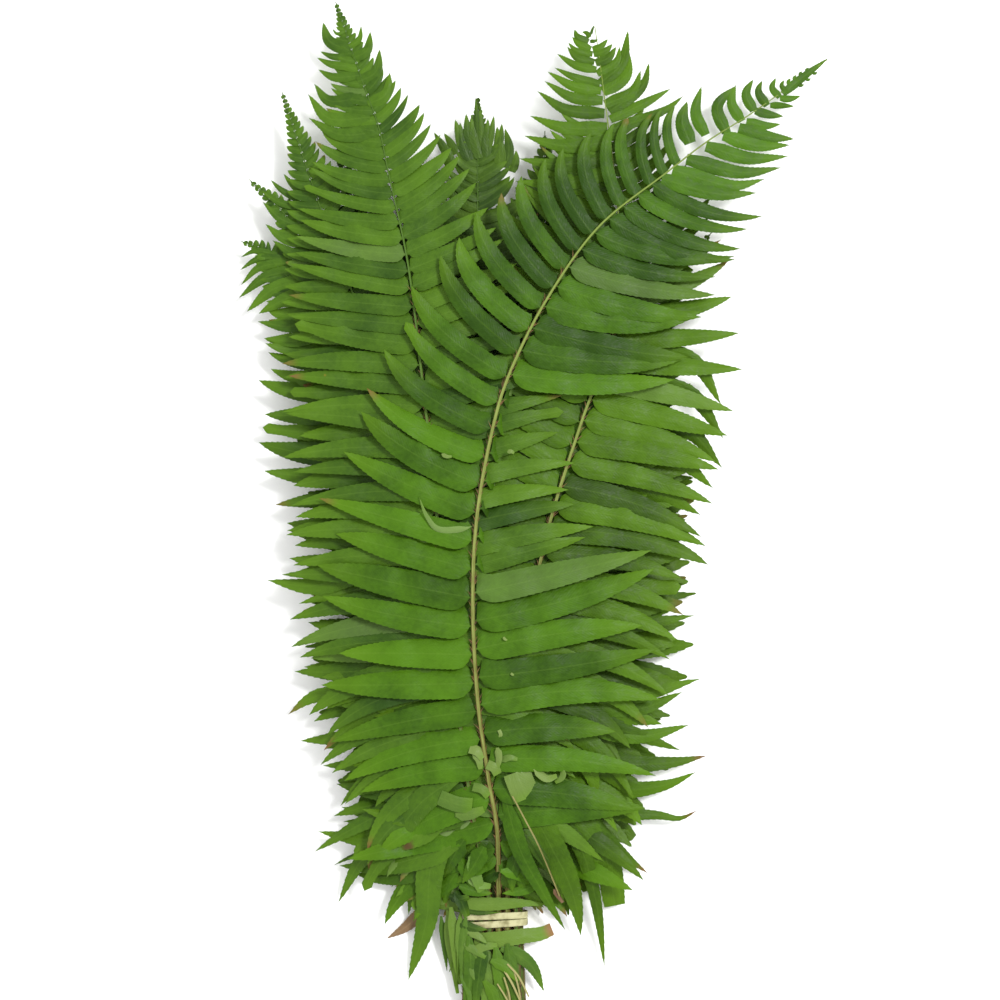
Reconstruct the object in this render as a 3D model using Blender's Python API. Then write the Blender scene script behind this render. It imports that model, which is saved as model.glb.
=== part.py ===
"""Tied bunch of sword fern fronds, lying on a surface.

+Y runs from the cut stalks to the frond tips, +X to the right seen from above, +Z up.
Lengths in this file are millimetres; each mesh is written in metres.

Every frond lies on its own sheet of a common stack, so no frond cuts through another. The stack is
thick over the middle of the bunch and thin at its rim. Near the tie the sheets close up into three
rows of stalks, one above the other, which the band holds.
"""
from dataclasses import dataclass
from math import cos, pi, radians, sin

import bpy
import numpy as np

MM = 0.001

# The tie and the cut stalks
TIE_X = -24.0
TIE_Y = -233.0
CUT_Y = -320.0
CUT_STAGGER = 2.0
STALK_PITCH = 5.4
ROW_SIZES = (5, 7, 6)
ROW_HEIGHTS = (3.4, 7.7, 12.0)
STALK_SPLAY = 1.12

# The band, a flat loop round all the stalks
BAND_WIDTH = 9.0
BAND_THICKNESS = 1.2
BAND_HALF_SPAN = 19.3
BAND_HALF_RISE = 6.7
BAND_SQUARENESS = 4.0
BAND_SIDES = 22

# Midribs: half width and half height at the tie, and at the tip
MIDRIB_LOW = (2.3, 1.8)
MIDRIB_TIP = (0.6, 0.5)
BLADE_HALF = 0.35

# The stack of sheets
STACK_CENTRE = (-20.0, 20.0)
STACK_REACH_X = 190.0
STACK_REACH_UP = 290.0
STACK_REACH_DOWN = 260.0
SHEET_GAP = 2.68
SHEET_CLOSING = 1.25
SHEET_GAP_LEAST = 0.38
CROWN = 1.35
CROWN_REACH = 80.0
RAMP_TOP_START = -226.0
RAMP_STEP = 2.6
RAMP_END = -160.0
TOP_SHEET = 18.5
STALKS_REACH = 50.0
SIDE_RISE = 1.5

# The two loose leaflets beside the band: centre line, and half width
LOOSE_ABOVE = ((-62.0, -221.0, 9.0), (-50.0, -222.0, 13.0), (-38.0, -223.0, 15.0),
               (-24.0, -223.0, 15.7), (-8.0, -222.0, 15.5), (4.0, -220.0, 14.0))
LOOSE_BELOW = ((-38.5, -243.0, 14.6), (-32.0, -243.5, 14.8), (-22.0, -244.0, 14.9),
               (-8.0, -243.0, 14.6), (4.0, -241.5, 12.0), (13.0, -239.5, 9.0))
LOOSE_HALF = 4.2
LOOSE_END_SHARE = 0.35

# Leaflets
FULL_LENGTH_AT = 0.25
BASE_LENGTH = 0.85
TAPER_POWER = 1.5
TIP_LENGTH = 7.0
SHORT_LEAFLET = 42.0
MIDDLE_FILL = 0.43
MIDDLE_FILL_SHORT = 0.9
WIDEST = 9.5
FIRST_STEP = 1.45
TIP_CLEAR = 4.0
TANGENT_STEP = 3.0
MIDRIB_TAPER_POWER = 1.3

# Leaflets' angles from the midrib, in degrees: at the root and at the tip of a leaflet. Each starts
# from its value in the middle of the frond, is wider by SPREAD at the bottom and narrower by CLOSE
# at the top.
ROOT_ANGLE, ROOT_SPREAD, ROOT_CLOSE = 78.0, 16.0, 8.0
ROOT_SPREAD_UNTIL, ROOT_CLOSE_FROM = 0.35, 0.5
TIP_ANGLE, TIP_SPREAD, TIP_CLOSE = 70.0, 62.0, 36.0
TIP_SPREAD_UNTIL, TIP_CLOSE_FROM = 0.30, 0.35
CLOSE_OVER = 0.5

# Puts the middle of the bunch's box at x = y = 0
SHIFT = (-0.8, 0.33)


@dataclass(frozen=True)
class Frond:
    """One frond: its stalk's place in the tie, its sheet, its route and its leaflets."""

    name: str
    sheet: float
    row: int
    slot: int
    route: tuple
    left: float
    right: float
    pairs: int
    leaves_from: float
    colour: tuple


FRONDS = (
    Frond("frond_front", 18.5, 2, 3,
          ((-22.2, -178.8), (-27.0, -148.2), (-33.6, -100.8), (-36.6, -44.4), (-34.2, 9.0),
           (-24.6, 62.4), (-13.8, 96.6), (7.8, 139.2), (38.4, 182.0), (78.6, 214.5),
           (104.4, 234.5), (132.0, 252.5), (177.6, 285.6)),
          90.0, 106.0, 27, -189.0, (0.10, 0.24, 0.05)),
    Frond("frond_left_front", 16.8, 2, 2,
          ((-36.0, -172.8), (-44.4, -112.8), (-52.8, -40.8), (-60.0, 31.2), (-66.0, 85.2),
           (-75.0, 158.4), (-87.0, 214.8), (-93.0, 242.4), (-103.0, 271.0), (-119.4, 319.2)),
          92.0, 88.0, 24, -168.0, (0.09, 0.20, 0.04)),
    Frond("frond_right_front", 15.45, 2, 4,
          ((-15.6, -160.8), (-10.8, -100.8), (5.4, -9.0), (27.6, 64.2), (47.4, 121.2),
           (50.4, 187.0), (42.0, 262.2), (36.6, 303.6)),
          100.0, 110.0, 24, -165.0, (0.13, 0.29, 0.04)),
    Frond("frond_left_high", 14.1, 2, 1,
          ((-43.2, -142.8), (-53.4, -58.8), (-68.4, 19.2), (-86.4, 85.2), (-125.4, 187.2),
           (-151.8, 265.2)),
          94.0, 86.0, 20, -161.0, (0.09, 0.22, 0.04)),
    Frond("frond_right_low", 13.05, 2, 5,
          ((-8.4, -148.8), (-1.2, -82.8), (25.8, 40.2), (66.6, 133.2), (106.8, 180.0)),
          88.0, 100.0, 18, -161.0, (0.10, 0.24, 0.04)),
    Frond("frond_left_wide", 12.06, 2, 0,
          ((-44.4, -136.8), (-53.4, -52.8), (-83.4, 79.2), (-140.4, 178.2), (-171.6, 212.4)),
          86.0, 84.0, 18, -161.0, (0.09, 0.21, 0.04)),
    Frond("frond_centre_high", 11, 1, 3,
          ((-27.6, -124.8), (-31.2, -34.8), (-33.6, 127.2), (-33.6, 261.0)),
          84.0, 88.0, 18, -156.0, (0.08, 0.17, 0.04)),
    Frond("frond_left_outer", 9.96, 1, 0,
          ((-47.4, -148.8), (-68.4, -4.8), (-110.4, 103.2), (-158.4, 164.4), (-176.4, 175.2)),
          78.0, 80.0, 17, -155.0, (0.10, 0.23, 0.05)),
    Frond("frond_centre_right", 9, 1, 4,
          ((-16.2, -148.8), (-11.4, -70.8), (3.6, 97.2), (6.6, 241.2)),
          84.0, 88.0, 16, -155.0, (0.08, 0.18, 0.04)),
    Frond("frond_left_inner", 8, 1, 1,
          ((-47.4, -112.8), (-57.6, -28.8), (-83.4, 121.2), (-119.4, 235.2)),
          84.0, 82.0, 16, -155.0, (0.08, 0.18, 0.04)),
    Frond("frond_right_inner", 7, 1, 5,
          ((-3.6, -142.8), (8.4, -70.8), (45.6, 43.2), (87.6, 121.2)),
          80.0, 82.0, 15, -155.0, (0.09, 0.20, 0.04)),
    Frond("frond_left_centre", 6, 1, 2,
          ((-37.2, -142.8), (-44.4, -64.8), (-58.8, 97.2), (-68.4, 229.2)),
          84.0, 82.0, 15, -155.0, (0.08, 0.17, 0.04)),
    Frond("frond_right_outer", 5, 1, 6,
          ((-4.0, -180.0), (8.0, -124.8), (42.6, -4.8), (81.6, 67.2)),
          76.0, 84.0, 14, -155.0, (0.09, 0.21, 0.04)),
    Frond("frond_under_centre", 4, 0, 2,
          ((-23.4, -112.8), (-19.2, 61.2), (-20.4, 205.2)),
          84.0, 84.0, 14, -155.0, (0.08, 0.17, 0.04)),
    Frond("frond_under_right", 3, 0, 4,
          ((-8.4, -148.8), (2.4, -76.8), (32.4, 73.2), (63.6, 199.2)),
          80.0, 84.0, 14, -155.0, (0.08, 0.18, 0.04)),
    Frond("frond_under_left", 2, 0, 0,
          ((-47.4, -142.8), (-73.2, 7.2), (-122.4, 97.2), (-146.4, 121.2)),
          76.0, 78.0, 14, -155.0, (0.09, 0.20, 0.04)),
    Frond("frond_bottom_right", 1, 0, 3,
          ((-15.6, -154.8), (-9.6, -88.8), (13.2, 73.2), (30.6, 211.2)),
          80.0, 82.0, 14, -155.0, (0.08, 0.17, 0.04)),
    Frond("frond_bottom_left", 0, 0, 1,
          ((-30.0, -124.8), (-36.0, -34.8), (-43.2, 49.2), (-53.4, 199.2)),
          80.0, 80.0, 14, -155.0, (0.08, 0.17, 0.04)),
)


def smooth(value):
    """Ease from 0 to 1, level at both ends."""
    held = np.clip(value, 0.0, 1.0)
    return held * held * (3.0 - 2.0 * held)


def rim_share(x, y):
    """0 at the middle of the stack, 1 on the ellipse where the leaflets' tips lie."""
    reach_y = np.where(np.asarray(y) > STACK_CENTRE[1], STACK_REACH_UP, STACK_REACH_DOWN)
    return np.hypot((x - STACK_CENTRE[0]) / STACK_REACH_X, (y - STACK_CENTRE[1]) / reach_y)


def sheet_height(sheet, x, y):
    """Height of a sheet: a low crown, and a gap from sheet to sheet that closes towards the rim."""
    rim = rim_share(x, y)
    gap = np.maximum(SHEET_GAP - SHEET_CLOSING * rim**2, SHEET_GAP_LEAST)
    crown = CROWN * np.maximum(0.0, 1.0 - ((x - STACK_CENTRE[0]) / CROWN_REACH) ** 2)
    return BLADE_HALF + crown + gap * sheet


def frond_height(frond, x, y):
    """Height of a frond: its row's height at the tie, its own sheet's further up and to the sides."""
    row = ROW_HEIGHTS[frond.row]
    start = RAMP_TOP_START + RAMP_STEP * (TOP_SHEET - frond.sheet)
    past = y + SIDE_RISE * np.maximum(0.0, abs(x - TIE_X) - STALKS_REACH)
    share = smooth((past - start) / (RAMP_END - start))
    return row + (sheet_height(frond.sheet, x, y) - row) * share


def stalk_x(frond):
    """Where a frond's stalk passes the tie."""
    return TIE_X + STALK_PITCH * (frond.slot - 0.5 * (ROW_SIZES[frond.row] - 1))


def catmull_rom(points, steps=24):
    """A smooth curve through the points, as many short steps."""
    padded = np.vstack([2 * points[0] - points[1], points, 2 * points[-1] - points[-2]])
    share = np.linspace(0.0, 1.0, steps, endpoint=False)[:, None]
    pieces = []
    for before, first, second, after in zip(padded, padded[1:], padded[2:], padded[3:]):
        pieces.append(
            0.5 * (2 * first + (second - before) * share
                   + (2 * before - 5 * first + 4 * second - after) * share**2
                   + (3 * first - before - 3 * second + after) * share**3)
        )
    return np.vstack(pieces + [points[-1:]])


class Midrib:
    """A frond's axis in plan: its points, read by the distance along it from the cut end."""

    def __init__(self, frond):
        tie = stalk_x(frond)
        cut = TIE_X + (tie - TIE_X) * STALK_SPLAY
        cut_y = CUT_Y + CUT_STAGGER * (frond.sheet % 3)
        head = [(cut, cut_y), (tie, TIE_Y - BAND_WIDTH), (tie, TIE_Y + BAND_WIDTH)]
        self.points = catmull_rom(np.array(head + list(frond.route)))
        steps = np.hypot(*np.diff(self.points, axis=0).T)
        self.run = np.concatenate([[0.0], np.cumsum(steps)])
        self.length = self.run[-1]
        self.frond = frond

    def at(self, run):
        """The plan point at this distance."""
        return np.array([np.interp(run, self.run, self.points[:, axis]) for axis in (0, 1)])

    def run_at_y(self, y):
        """The distance at which the axis first reaches this y."""
        return self.run[np.argmax(self.points[:, 1] >= y)]

    def forward(self, run):
        """The unit vector towards the tip."""
        step = self.at(min(run + TANGENT_STEP, self.length)) - self.at(max(run - TANGENT_STEP, 0.0))
        return step / np.hypot(*step)

    def half_sizes(self, run):
        """Half width and half height, tapering from the tie to the tip."""
        share = np.clip(run / self.length, 0.0, 1.0) ** MIDRIB_TAPER_POWER
        low, tip = np.array(MIDRIB_LOW), np.array(MIDRIB_TIP)
        return low + (tip - low) * share


def leaf_share(step, pairs):
    """Share of the leafy length at a step: wide steps low down and short ones at the tip."""
    share = step / pairs
    return FIRST_STEP * share - (FIRST_STEP - 1.0) * share**2


def leaflet_length(full, share):
    """Length of a leaflet: full a quarter of the way up, tapering to the tip."""
    if share < FULL_LENGTH_AT:
        return full * (BASE_LENGTH + (1.0 - BASE_LENGTH) * share / FULL_LENGTH_AT)
    taper = ((share - FULL_LENGTH_AT) / (1.0 - FULL_LENGTH_AT)) ** TAPER_POWER
    return TIP_LENGTH + (full - TIP_LENGTH) * (1.0 - taper)


def leaflet_angles(share):
    """Angles from the midrib's forward direction, in degrees: at a leaflet's root and at its tip."""
    root = (ROOT_ANGLE + ROOT_SPREAD * (1.0 - smooth(share / ROOT_SPREAD_UNTIL))
            - ROOT_CLOSE * smooth((share - ROOT_CLOSE_FROM) / CLOSE_OVER))
    tip = (TIP_ANGLE + TIP_SPREAD * (1.0 - smooth(share / TIP_SPREAD_UNTIL))
           - TIP_CLOSE * smooth((share - TIP_CLOSE_FROM) / CLOSE_OVER))
    return root, tip


def leaflet_axis(base, forward, side, share, length):
    """Plan points at the root, the middle and the tip of a leaflet that bends in an arc."""
    root, tip = leaflet_angles(share)
    heading = np.arctan2(forward[1], forward[0])
    points = [base]
    for part in (0.25, 0.75):
        turn = heading - side * radians(root + (tip - root) * part)
        points.append(points[-1] + 0.5 * length * np.array([cos(turn), sin(turn)]))
    return points


class Shell:
    """Collects the corners and triangles of one closed body."""

    def __init__(self):
        self.corners = []
        self.faces = []

    def corner(self, x, y, z):
        """Adds a corner and returns its number."""
        self.corners.append((x, y, z))
        return len(self.corners) - 1

    def quad(self, first, second, third, fourth):
        """Adds two triangles."""
        self.faces += [(first, second, third), (first, third, fourth)]

    def plate(self, upper, lower, triangles):
        """Closes an outline with alike triangles on both faces and a wall on all but its last edge."""
        for first, second, third in triangles:
            self.faces.append((upper[first], upper[second], upper[third]))
            self.faces.append((lower[third], lower[second], lower[first]))
        for here, there in zip(range(len(upper) - 1), range(1, len(upper))):
            self.quad(lower[here], lower[there], upper[there], upper[here])

    def object(self, name, colour, roughness):
        """Makes the object in metres, with its own material."""
        mesh = bpy.data.meshes.new(name)
        corners = (np.array(self.corners) + (*SHIFT, 0.0)) * MM
        mesh.from_pydata(corners.tolist(), [], self.faces)
        made = bpy.data.objects.new(name, mesh)
        material = bpy.data.materials.new(name)
        material.use_nodes = True
        shader = material.node_tree.nodes["Principled BSDF"]
        shader.inputs["Base Color"].default_value = (*colour, 1.0)
        shader.inputs["Roughness"].default_value = roughness
        shader.inputs["Metallic"].default_value = 0.0
        mesh.materials.append(material)
        bpy.context.collection.objects.link(made)
        return made


def ring_of_midrib(shell, midrib, run):
    """Six corners round the axis: top, right pair, bottom, left pair."""
    x, y = midrib.at(run)
    forward = midrib.forward(run)
    right = np.array([forward[1], -forward[0]])
    half_width, half_height = midrib.half_sizes(run)
    z = max(float(frond_height(midrib.frond, x, y)), half_height)
    ring = [shell.corner(x, y, z + half_height)]
    for side, rises in ((1, (BLADE_HALF, -BLADE_HALF)), (-1, (-BLADE_HALF, BLADE_HALF))):
        if side < 0:
            ring.append(shell.corner(x, y, z - half_height))
        edge = np.array([x, y]) + side * half_width * right
        ring += [shell.corner(*edge, z + rise) for rise in rises]
    return ring


def add_leaflet(shell, midrib, side, low, high, plan):
    """One leaflet between two rings; plan holds its outline points between the two roots."""
    uppers, lowers = [], []
    for x, y in plan:
        z = float(frond_height(midrib.frond, x, y))
        uppers.append(shell.corner(x, y, z + BLADE_HALF))
        lowers.append(shell.corner(x, y, z - BLADE_HALF))
    upper_edge, lower_edge = ((1, 2) if side > 0 else (5, 4))
    upper = [low[upper_edge], *uppers, high[upper_edge]]
    lower = [low[lower_edge], *lowers, high[lower_edge]]
    triangles = [(0, 1, 3), (1, 2, 3), (0, 3, 4)] if len(plan) == 3 else [(0, 1, 3), (1, 2, 3)]
    if side < 0:
        last = len(upper) - 1
        upper, lower = upper[::-1], lower[::-1]
        triangles = [tuple(last - number for number in triangle[::-1]) for triangle in triangles]
    shell.plate(upper, lower, triangles)


def leaflet_plans(midrib, side, full, runs, first, last):
    """Outline points of every leaflet on one side, each kept clear of its neighbours."""
    axes = []
    for low, high in zip(runs, runs[1:]):
        middle = 0.5 * (low + high)
        share = (middle - first) / (last - first)
        length = leaflet_length(full, share)
        axes.append((leaflet_axis(midrib.at(middle), midrib.forward(middle), side, share, length),
                     length))
    plans = []
    for number, (axis, length) in enumerate(axes):
        spaces = [np.hypot(*(axes[other][0][1] - axis[1]))
                  for other in (number - 1, number + 1) if 0 <= other < len(axes)]
        half = min(min(spaces) * MIDDLE_FILL, WIDEST)
        along = axis[2] - axis[0]
        along /= np.hypot(*along)
        across = side * half * np.array([-along[1], along[0]])
        middle, tip = axis[1], axis[2]
        plans.append([middle - across, tip, middle + across] if length > SHORT_LEAFLET
                     else [middle - MIDDLE_FILL_SHORT * across, tip])
    return plans


def make_frond(frond):
    """The frond as one closed body: a six-sided midrib whose side edges carry the leaflets."""
    shell = Shell()
    midrib = Midrib(frond)
    first, last = midrib.run_at_y(frond.leaves_from), midrib.length - TIP_CLEAR
    start = RAMP_TOP_START + RAMP_STEP * (TOP_SHEET - frond.sheet)
    stalk = [0.0, midrib.run_at_y(TIE_Y - BAND_WIDTH)]
    stalk += [midrib.run_at_y(y) for y in np.linspace(start, frond.leaves_from, 4)[:-1]]
    leafy = [first + (last - first) * leaf_share(step, frond.pairs)
             for step in range(frond.pairs + 1)]
    runs = stalk + leafy + [midrib.length]
    rings = [ring_of_midrib(shell, midrib, run) for run in runs]
    for low, high in zip(rings, rings[1:]):
        shell.quad(low[0], low[1], high[1], high[0])
        shell.quad(low[2], low[3], high[3], high[2])
        shell.quad(low[3], low[4], high[4], high[3])
        shell.quad(low[5], low[0], high[0], high[5])
    leaf_range = range(len(stalk), len(stalk) + frond.pairs)
    for number, (low, high) in enumerate(zip(rings, rings[1:])):
        if number not in leaf_range:
            shell.quad(low[1], low[2], high[2], high[1])
            shell.quad(low[4], low[5], high[5], high[4])
    for side, full in ((1, frond.right), (-1, frond.left)):
        plans = leaflet_plans(midrib, side, full, leafy, first, last)
        for number, plan in zip(leaf_range, plans):
            add_leaflet(shell, midrib, side, rings[number], rings[number + 1], plan)
    for ring in (rings[0], rings[-1][::-1]):
        shell.faces += [(ring[0], ring[place + 1], ring[place]) for place in range(1, 5)]
    return shell.object(frond.name, frond.colour, 0.45)


def band_outline(extra):
    """The band's outline in x and z, a squared oval with one flat side down."""
    angles = 2.0 * pi * (np.arange(BAND_SIDES) + 0.5) / BAND_SIDES - 0.5 * pi
    wide, tall = (np.sign(part) * np.abs(part) ** (2.0 / BAND_SQUARENESS)
                  for part in (np.cos(angles), np.sin(angles)))
    x = TIE_X + (BAND_HALF_SPAN + extra) * wide
    z = BAND_THICKNESS + BAND_HALF_RISE + (BAND_HALF_RISE + extra) * tall / np.abs(tall[0])
    return x, z


def make_band():
    """The elastic band, a closed flat loop round the stalks."""
    shell = Shell()
    rings = []
    for extra in (0.0, BAND_THICKNESS):
        x, z = band_outline(extra)
        for y in (TIE_Y - 0.5 * BAND_WIDTH, TIE_Y + 0.5 * BAND_WIDTH):
            rings.append([shell.corner(*corner) for corner in zip(x, np.full_like(x, y), z)])
    inner_low, inner_high, outer_low, outer_high = rings
    for here in range(BAND_SIDES):
        there = (here + 1) % BAND_SIDES
        shell.quad(outer_low[here], outer_high[here], outer_high[there], outer_low[there])
        shell.quad(inner_low[here], inner_low[there], inner_high[there], inner_high[here])
        shell.quad(inner_low[here], outer_low[here], outer_low[there], inner_low[there])
        shell.quad(inner_high[here], inner_high[there], outer_high[there], outer_high[here])
    return shell.object("tie_band", (0.66, 0.64, 0.46), 0.5)


def make_loose_leaflet(name, line, colour):
    """A loose leaflet lying over the stalks, a thin closed blade pointed at both ends."""
    shell = Shell()
    line = np.array(line)
    rings = []
    for number, (x, y, z) in enumerate(line):
        swell = sin(pi * (number + 0.4) / (len(line) - 0.2))
        half = LOOSE_HALF * (LOOSE_END_SHARE + (1.0 - LOOSE_END_SHARE) * swell)
        rings.append([shell.corner(x, y + across, z + rise)
                      for across, rise in ((half, BLADE_HALF), (-half, BLADE_HALF),
                                           (-half, -BLADE_HALF), (half, -BLADE_HALF))])
    for low, high in zip(rings, rings[1:]):
        for here, there in ((0, 1), (1, 2), (2, 3), (3, 0)):
            shell.quad(low[here], low[there], high[there], high[here])
    shell.quad(*rings[0][::-1])
    shell.quad(*rings[-1])
    return shell.object(name, colour, 0.5)


def main():
    """Clears the scene and makes every piece."""
    for item in list(bpy.data.objects):
        bpy.data.objects.remove(item, do_unlink=True)
    for frond in FRONDS:
        make_frond(frond)
    make_band()
    make_loose_leaflet("loose_leaflet_above", LOOSE_ABOVE, (0.30, 0.40, 0.12))
    make_loose_leaflet("loose_leaflet_below", LOOSE_BELOW, (0.26, 0.34, 0.12))


main()
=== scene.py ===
"""A tied bunch of sword fern fronds, lying on a pale floor and seen from straight above.

+Y runs from the cut stalks to the frond tips, +X to the right, +Z up. Shapes are worked out in
millimetres on the bunch's own grid and written into the meshes in metres. Every frond keeps the
route and the sheet of the stack that its solid has, so each leaf lies where the solid's leaves lie.
"""
from __future__ import annotations

import logging
import math
from collections.abc import Callable
from dataclasses import dataclass, field
from enum import Enum

import bpy
import numpy as np
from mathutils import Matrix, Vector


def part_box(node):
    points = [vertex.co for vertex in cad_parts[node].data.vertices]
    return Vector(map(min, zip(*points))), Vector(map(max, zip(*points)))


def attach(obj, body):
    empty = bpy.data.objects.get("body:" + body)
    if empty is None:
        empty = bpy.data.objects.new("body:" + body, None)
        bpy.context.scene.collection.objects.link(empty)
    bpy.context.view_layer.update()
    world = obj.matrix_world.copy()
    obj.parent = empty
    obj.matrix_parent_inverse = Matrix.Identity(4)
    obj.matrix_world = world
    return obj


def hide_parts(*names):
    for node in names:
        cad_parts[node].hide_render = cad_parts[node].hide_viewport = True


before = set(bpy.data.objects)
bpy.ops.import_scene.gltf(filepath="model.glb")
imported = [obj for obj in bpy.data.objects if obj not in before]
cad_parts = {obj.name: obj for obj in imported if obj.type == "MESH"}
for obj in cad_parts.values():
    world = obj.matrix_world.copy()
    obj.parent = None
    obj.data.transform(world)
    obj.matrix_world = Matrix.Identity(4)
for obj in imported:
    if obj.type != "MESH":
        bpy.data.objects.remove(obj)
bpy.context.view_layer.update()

LOG = logging.getLogger("fern_bunch")
# A millimetre in metres, and the leaf map's unit in millimetres
MM, MAP_MM = 0.001, 100.0

# The stack of sheets and the tie, in millimetres, as in the solids
TIE_X, TIE_Y = -24.0, -233.0
CUT_Y, CUT_STAGGER = -320.0, 2.0
STALK_PITCH, STALK_SPLAY = 5.4, 1.12
ROW_SIZES, ROW_HEIGHTS = (5, 7, 6), (3.4, 7.7, 12.0)
STACK_CENTRE = (-20.0, 20.0)
STACK_REACH_X, STACK_REACH_UP, STACK_REACH_DOWN = 190.0, 290.0, 260.0
SHEET_GAP, SHEET_CLOSING, SHEET_GAP_LEAST = 2.68, 1.25, 0.38
BLADE_HALF, CROWN, CROWN_REACH = 0.35, 1.35, 80.0
RAMP_TOP_START, RAMP_STEP, RAMP_END, TOP_SHEET = -226.0, 2.6, -160.0, 18.5
STALKS_REACH, SIDE_RISE = 50.0, 1.5
MIDRIB_LOW, MIDRIB_TIP, MIDRIB_TAPER_POWER = (2.3, 1.8), (0.6, 0.5), 1.3
MIDRIB_FINER, MIDRIB_GROOVE, MIDRIB_GROOVE_REACH = (0.32, 0.22), 0.42, 0.38
BAND_WIDTH, BAND_THICKNESS = 9.0, 1.2
BAND_HALF_SPAN, BAND_HALF_RISE, BAND_SQUARENESS = 19.3, 6.7, 4.0

# How a blade is drawn: lengths in millimetres, places as shares of its length
TEETH_FROM, TEETH_TO, TOOTH_LEAN, TOOTH_FULL_HALF = 0.05, 0.97, 0.55, 6.0
RUFFLE, RUFFLE_STEP = 0.05, 2.6
GROOVE_DEPTH, GROOVE_REACH, BLADE_RISE = 0.20, 0.2, 0.16
KEEL_DEPTH, LEAST_TOP, LEAST_KEEL, LEAST_HALF = 0.38, 0.15, 0.05, 0.06
DRY_FROM, DRY_OVER = 0.86, 0.12
LEAF_CAMBER, FREE_CAMBER, VEIN_SPACING = 0.17, 0.14, 2.2

# How a leaflet is shaped and laid
FULL_LENGTH, LEAF_STALK, OPENS_OVER = 85.0, 2.0, 0.03
EAR, EAR_REACH, CUT_BACK, CUT_REACH = 0.30, 0.035, 0.38, 0.06
RISES_OVER, TUCK_FROM, TUCK_OVER, LEAST_LEVEL = 14.0, 2.0, 9.0, 0.5
SWELL, SWELL_STEP, SWELL_OVER = 0.45, 4.5, 20.0
LAID_HEIGHTS, LAID_WIDER, GOLDEN = (0.3, 0.8, 0.2), 1.14, 0.618

# Angles between leaflet and midrib at the root and at the tip of the leaflet, for the lowest, the
# middle and the topmost leaflets, in degrees
ROOT_ANGLES, TIP_ANGLES, LATE_BEND_ANGLE = (94.0, 78.0, 70.0), (132.0, 70.0, 34.0), 24.0
LONGEST_AT, SHORTER_WITHIN, STAGGER = 0.25, 130.0, 0.12

# How leaflets differ: angles in degrees, lengths and widths as shares, arch and droop in
# millimetres, and the share of them that is dry at the tip, broken or turned over
ROOT_SPREAD, TIP_SPREAD, LENGTH_SPREAD, WIDTH_SPREAD = 2.4, 6.5, 0.04, 0.05
TILT, TILT_SPREAD, TWIST_SPREAD = 9.0, 3.5, 6.0
ARCH_SPREAD, DROOP_SPREAD, DROOP = 0.45, 0.7, 0.4
DRY_SHARE, BROKEN_SHARE, TURNED_SHARE = 0.12, 0.03, 0.02
BASAL_PITCH, BASAL_DRY, BASAL_BROKEN, BASAL_TURNED = 8.5, 0.25, 0.15, 0.22
SCALES_PER_FROND, SCALE_HALF, CREST_COLUMNS = 420, 0.55, 36

# The photograph's frame: 0.6 mm a pixel, its centre in the bunch's own millimetres
PIXEL_MM, PHOTO_PIXELS = 0.6, 1000
PHOTO_CENTRE_MM = (-20.4, 19.2)
PHOTO_SPAN_MM = PHOTO_PIXELS * PIXEL_MM

# Node kinds and settings that the finishes use again and again
NOISE, MATH, RANGE, MIX = ("ShaderNodeTexNoise", "ShaderNodeMath", "ShaderNodeMapRange",
                           "ShaderNodeMix")
RGBA, SMOOTH, TIMES = ({"data_type": "RGBA"}, {"interpolation_type": "SMOOTHSTEP"},
                       {"operation": "MULTIPLY"})


def shift_from_frame() -> np.ndarray:
    """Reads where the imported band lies, which fixes the grid's place in the shared frame.

    Returns:
        The shift in X and Y, in millimetres.
    """
    low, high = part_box("tie_band")
    middle = 0.5 * (np.array(low[:2]) + np.array(high[:2])) / MM
    return middle - np.array([TIE_X, TIE_Y])


SHIFT = shift_from_frame()


def smooth(value: np.ndarray) -> np.ndarray:
    """Eases from 0 to 1, level at both ends: 3v^2 - 2v^3."""
    held = np.clip(value, 0.0, 1.0)
    return held * held * (3.0 - 2.0 * held)


def linear_colour(text: str) -> tuple[float, float, float, float]:
    """Turns an sRGB hex colour into linear light.

    Args:
        text: The colour as #rrggbb.

    Returns:
        Red, green, blue and an alpha of 1.
    """
    parts = [int(text[place:place + 2], 16) / 255.0 for place in (1, 3, 5)]
    linear = [part / 12.92 if part <= 0.04045 else ((part + 0.055) / 1.055) ** 2.4
              for part in parts]
    return (*linear, 1.0)


def add_node(tree: bpy.types.NodeTree, kind: str, settings: dict | None = None,
             inputs: dict | None = None) -> bpy.types.Node:
    """Adds a shader node with its settings, values and links.

    Args:
        tree: The material's node tree.
        kind: The node's type name.
        settings: Properties of the node.
        inputs: Values, sockets or nodes by input name or number; a node stands for the first of
            its outputs that is in use.

    Returns:
        The new node.
    """
    node = tree.nodes.new(kind)
    for name, value in (settings or {}).items():
        setattr(node, name, value)
    for name, value in (inputs or {}).items():
        if isinstance(value, bpy.types.Node):
            value = next(output for output in value.outputs if output.enabled)
        if isinstance(value, bpy.types.NodeSocket):
            tree.links.new(value, node.inputs[name])
        else:
            node.inputs[name].default_value = value
    return node


class Finish:
    """What every procedural finish shares."""

    @staticmethod
    def start(name: str) -> tuple[bpy.types.Material, bpy.types.NodeTree]:
        """Makes a material with an empty tree.

        Args:
            name: The finish's name.

        Returns:
            The material and its tree.
        """
        material = bpy.data.materials.new(name)
        material.use_nodes = True
        material.node_tree.nodes.clear()
        return material, material.node_tree

    @staticmethod
    def close(tree: bpy.types.NodeTree, shader: dict) -> None:
        """Ends the tree with a Principled shader that has the given inputs."""
        surface = add_node(tree, "ShaderNodeBsdfPrincipled", inputs=shader)
        add_node(tree, "ShaderNodeOutputMaterial", inputs={"Surface": surface})


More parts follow.
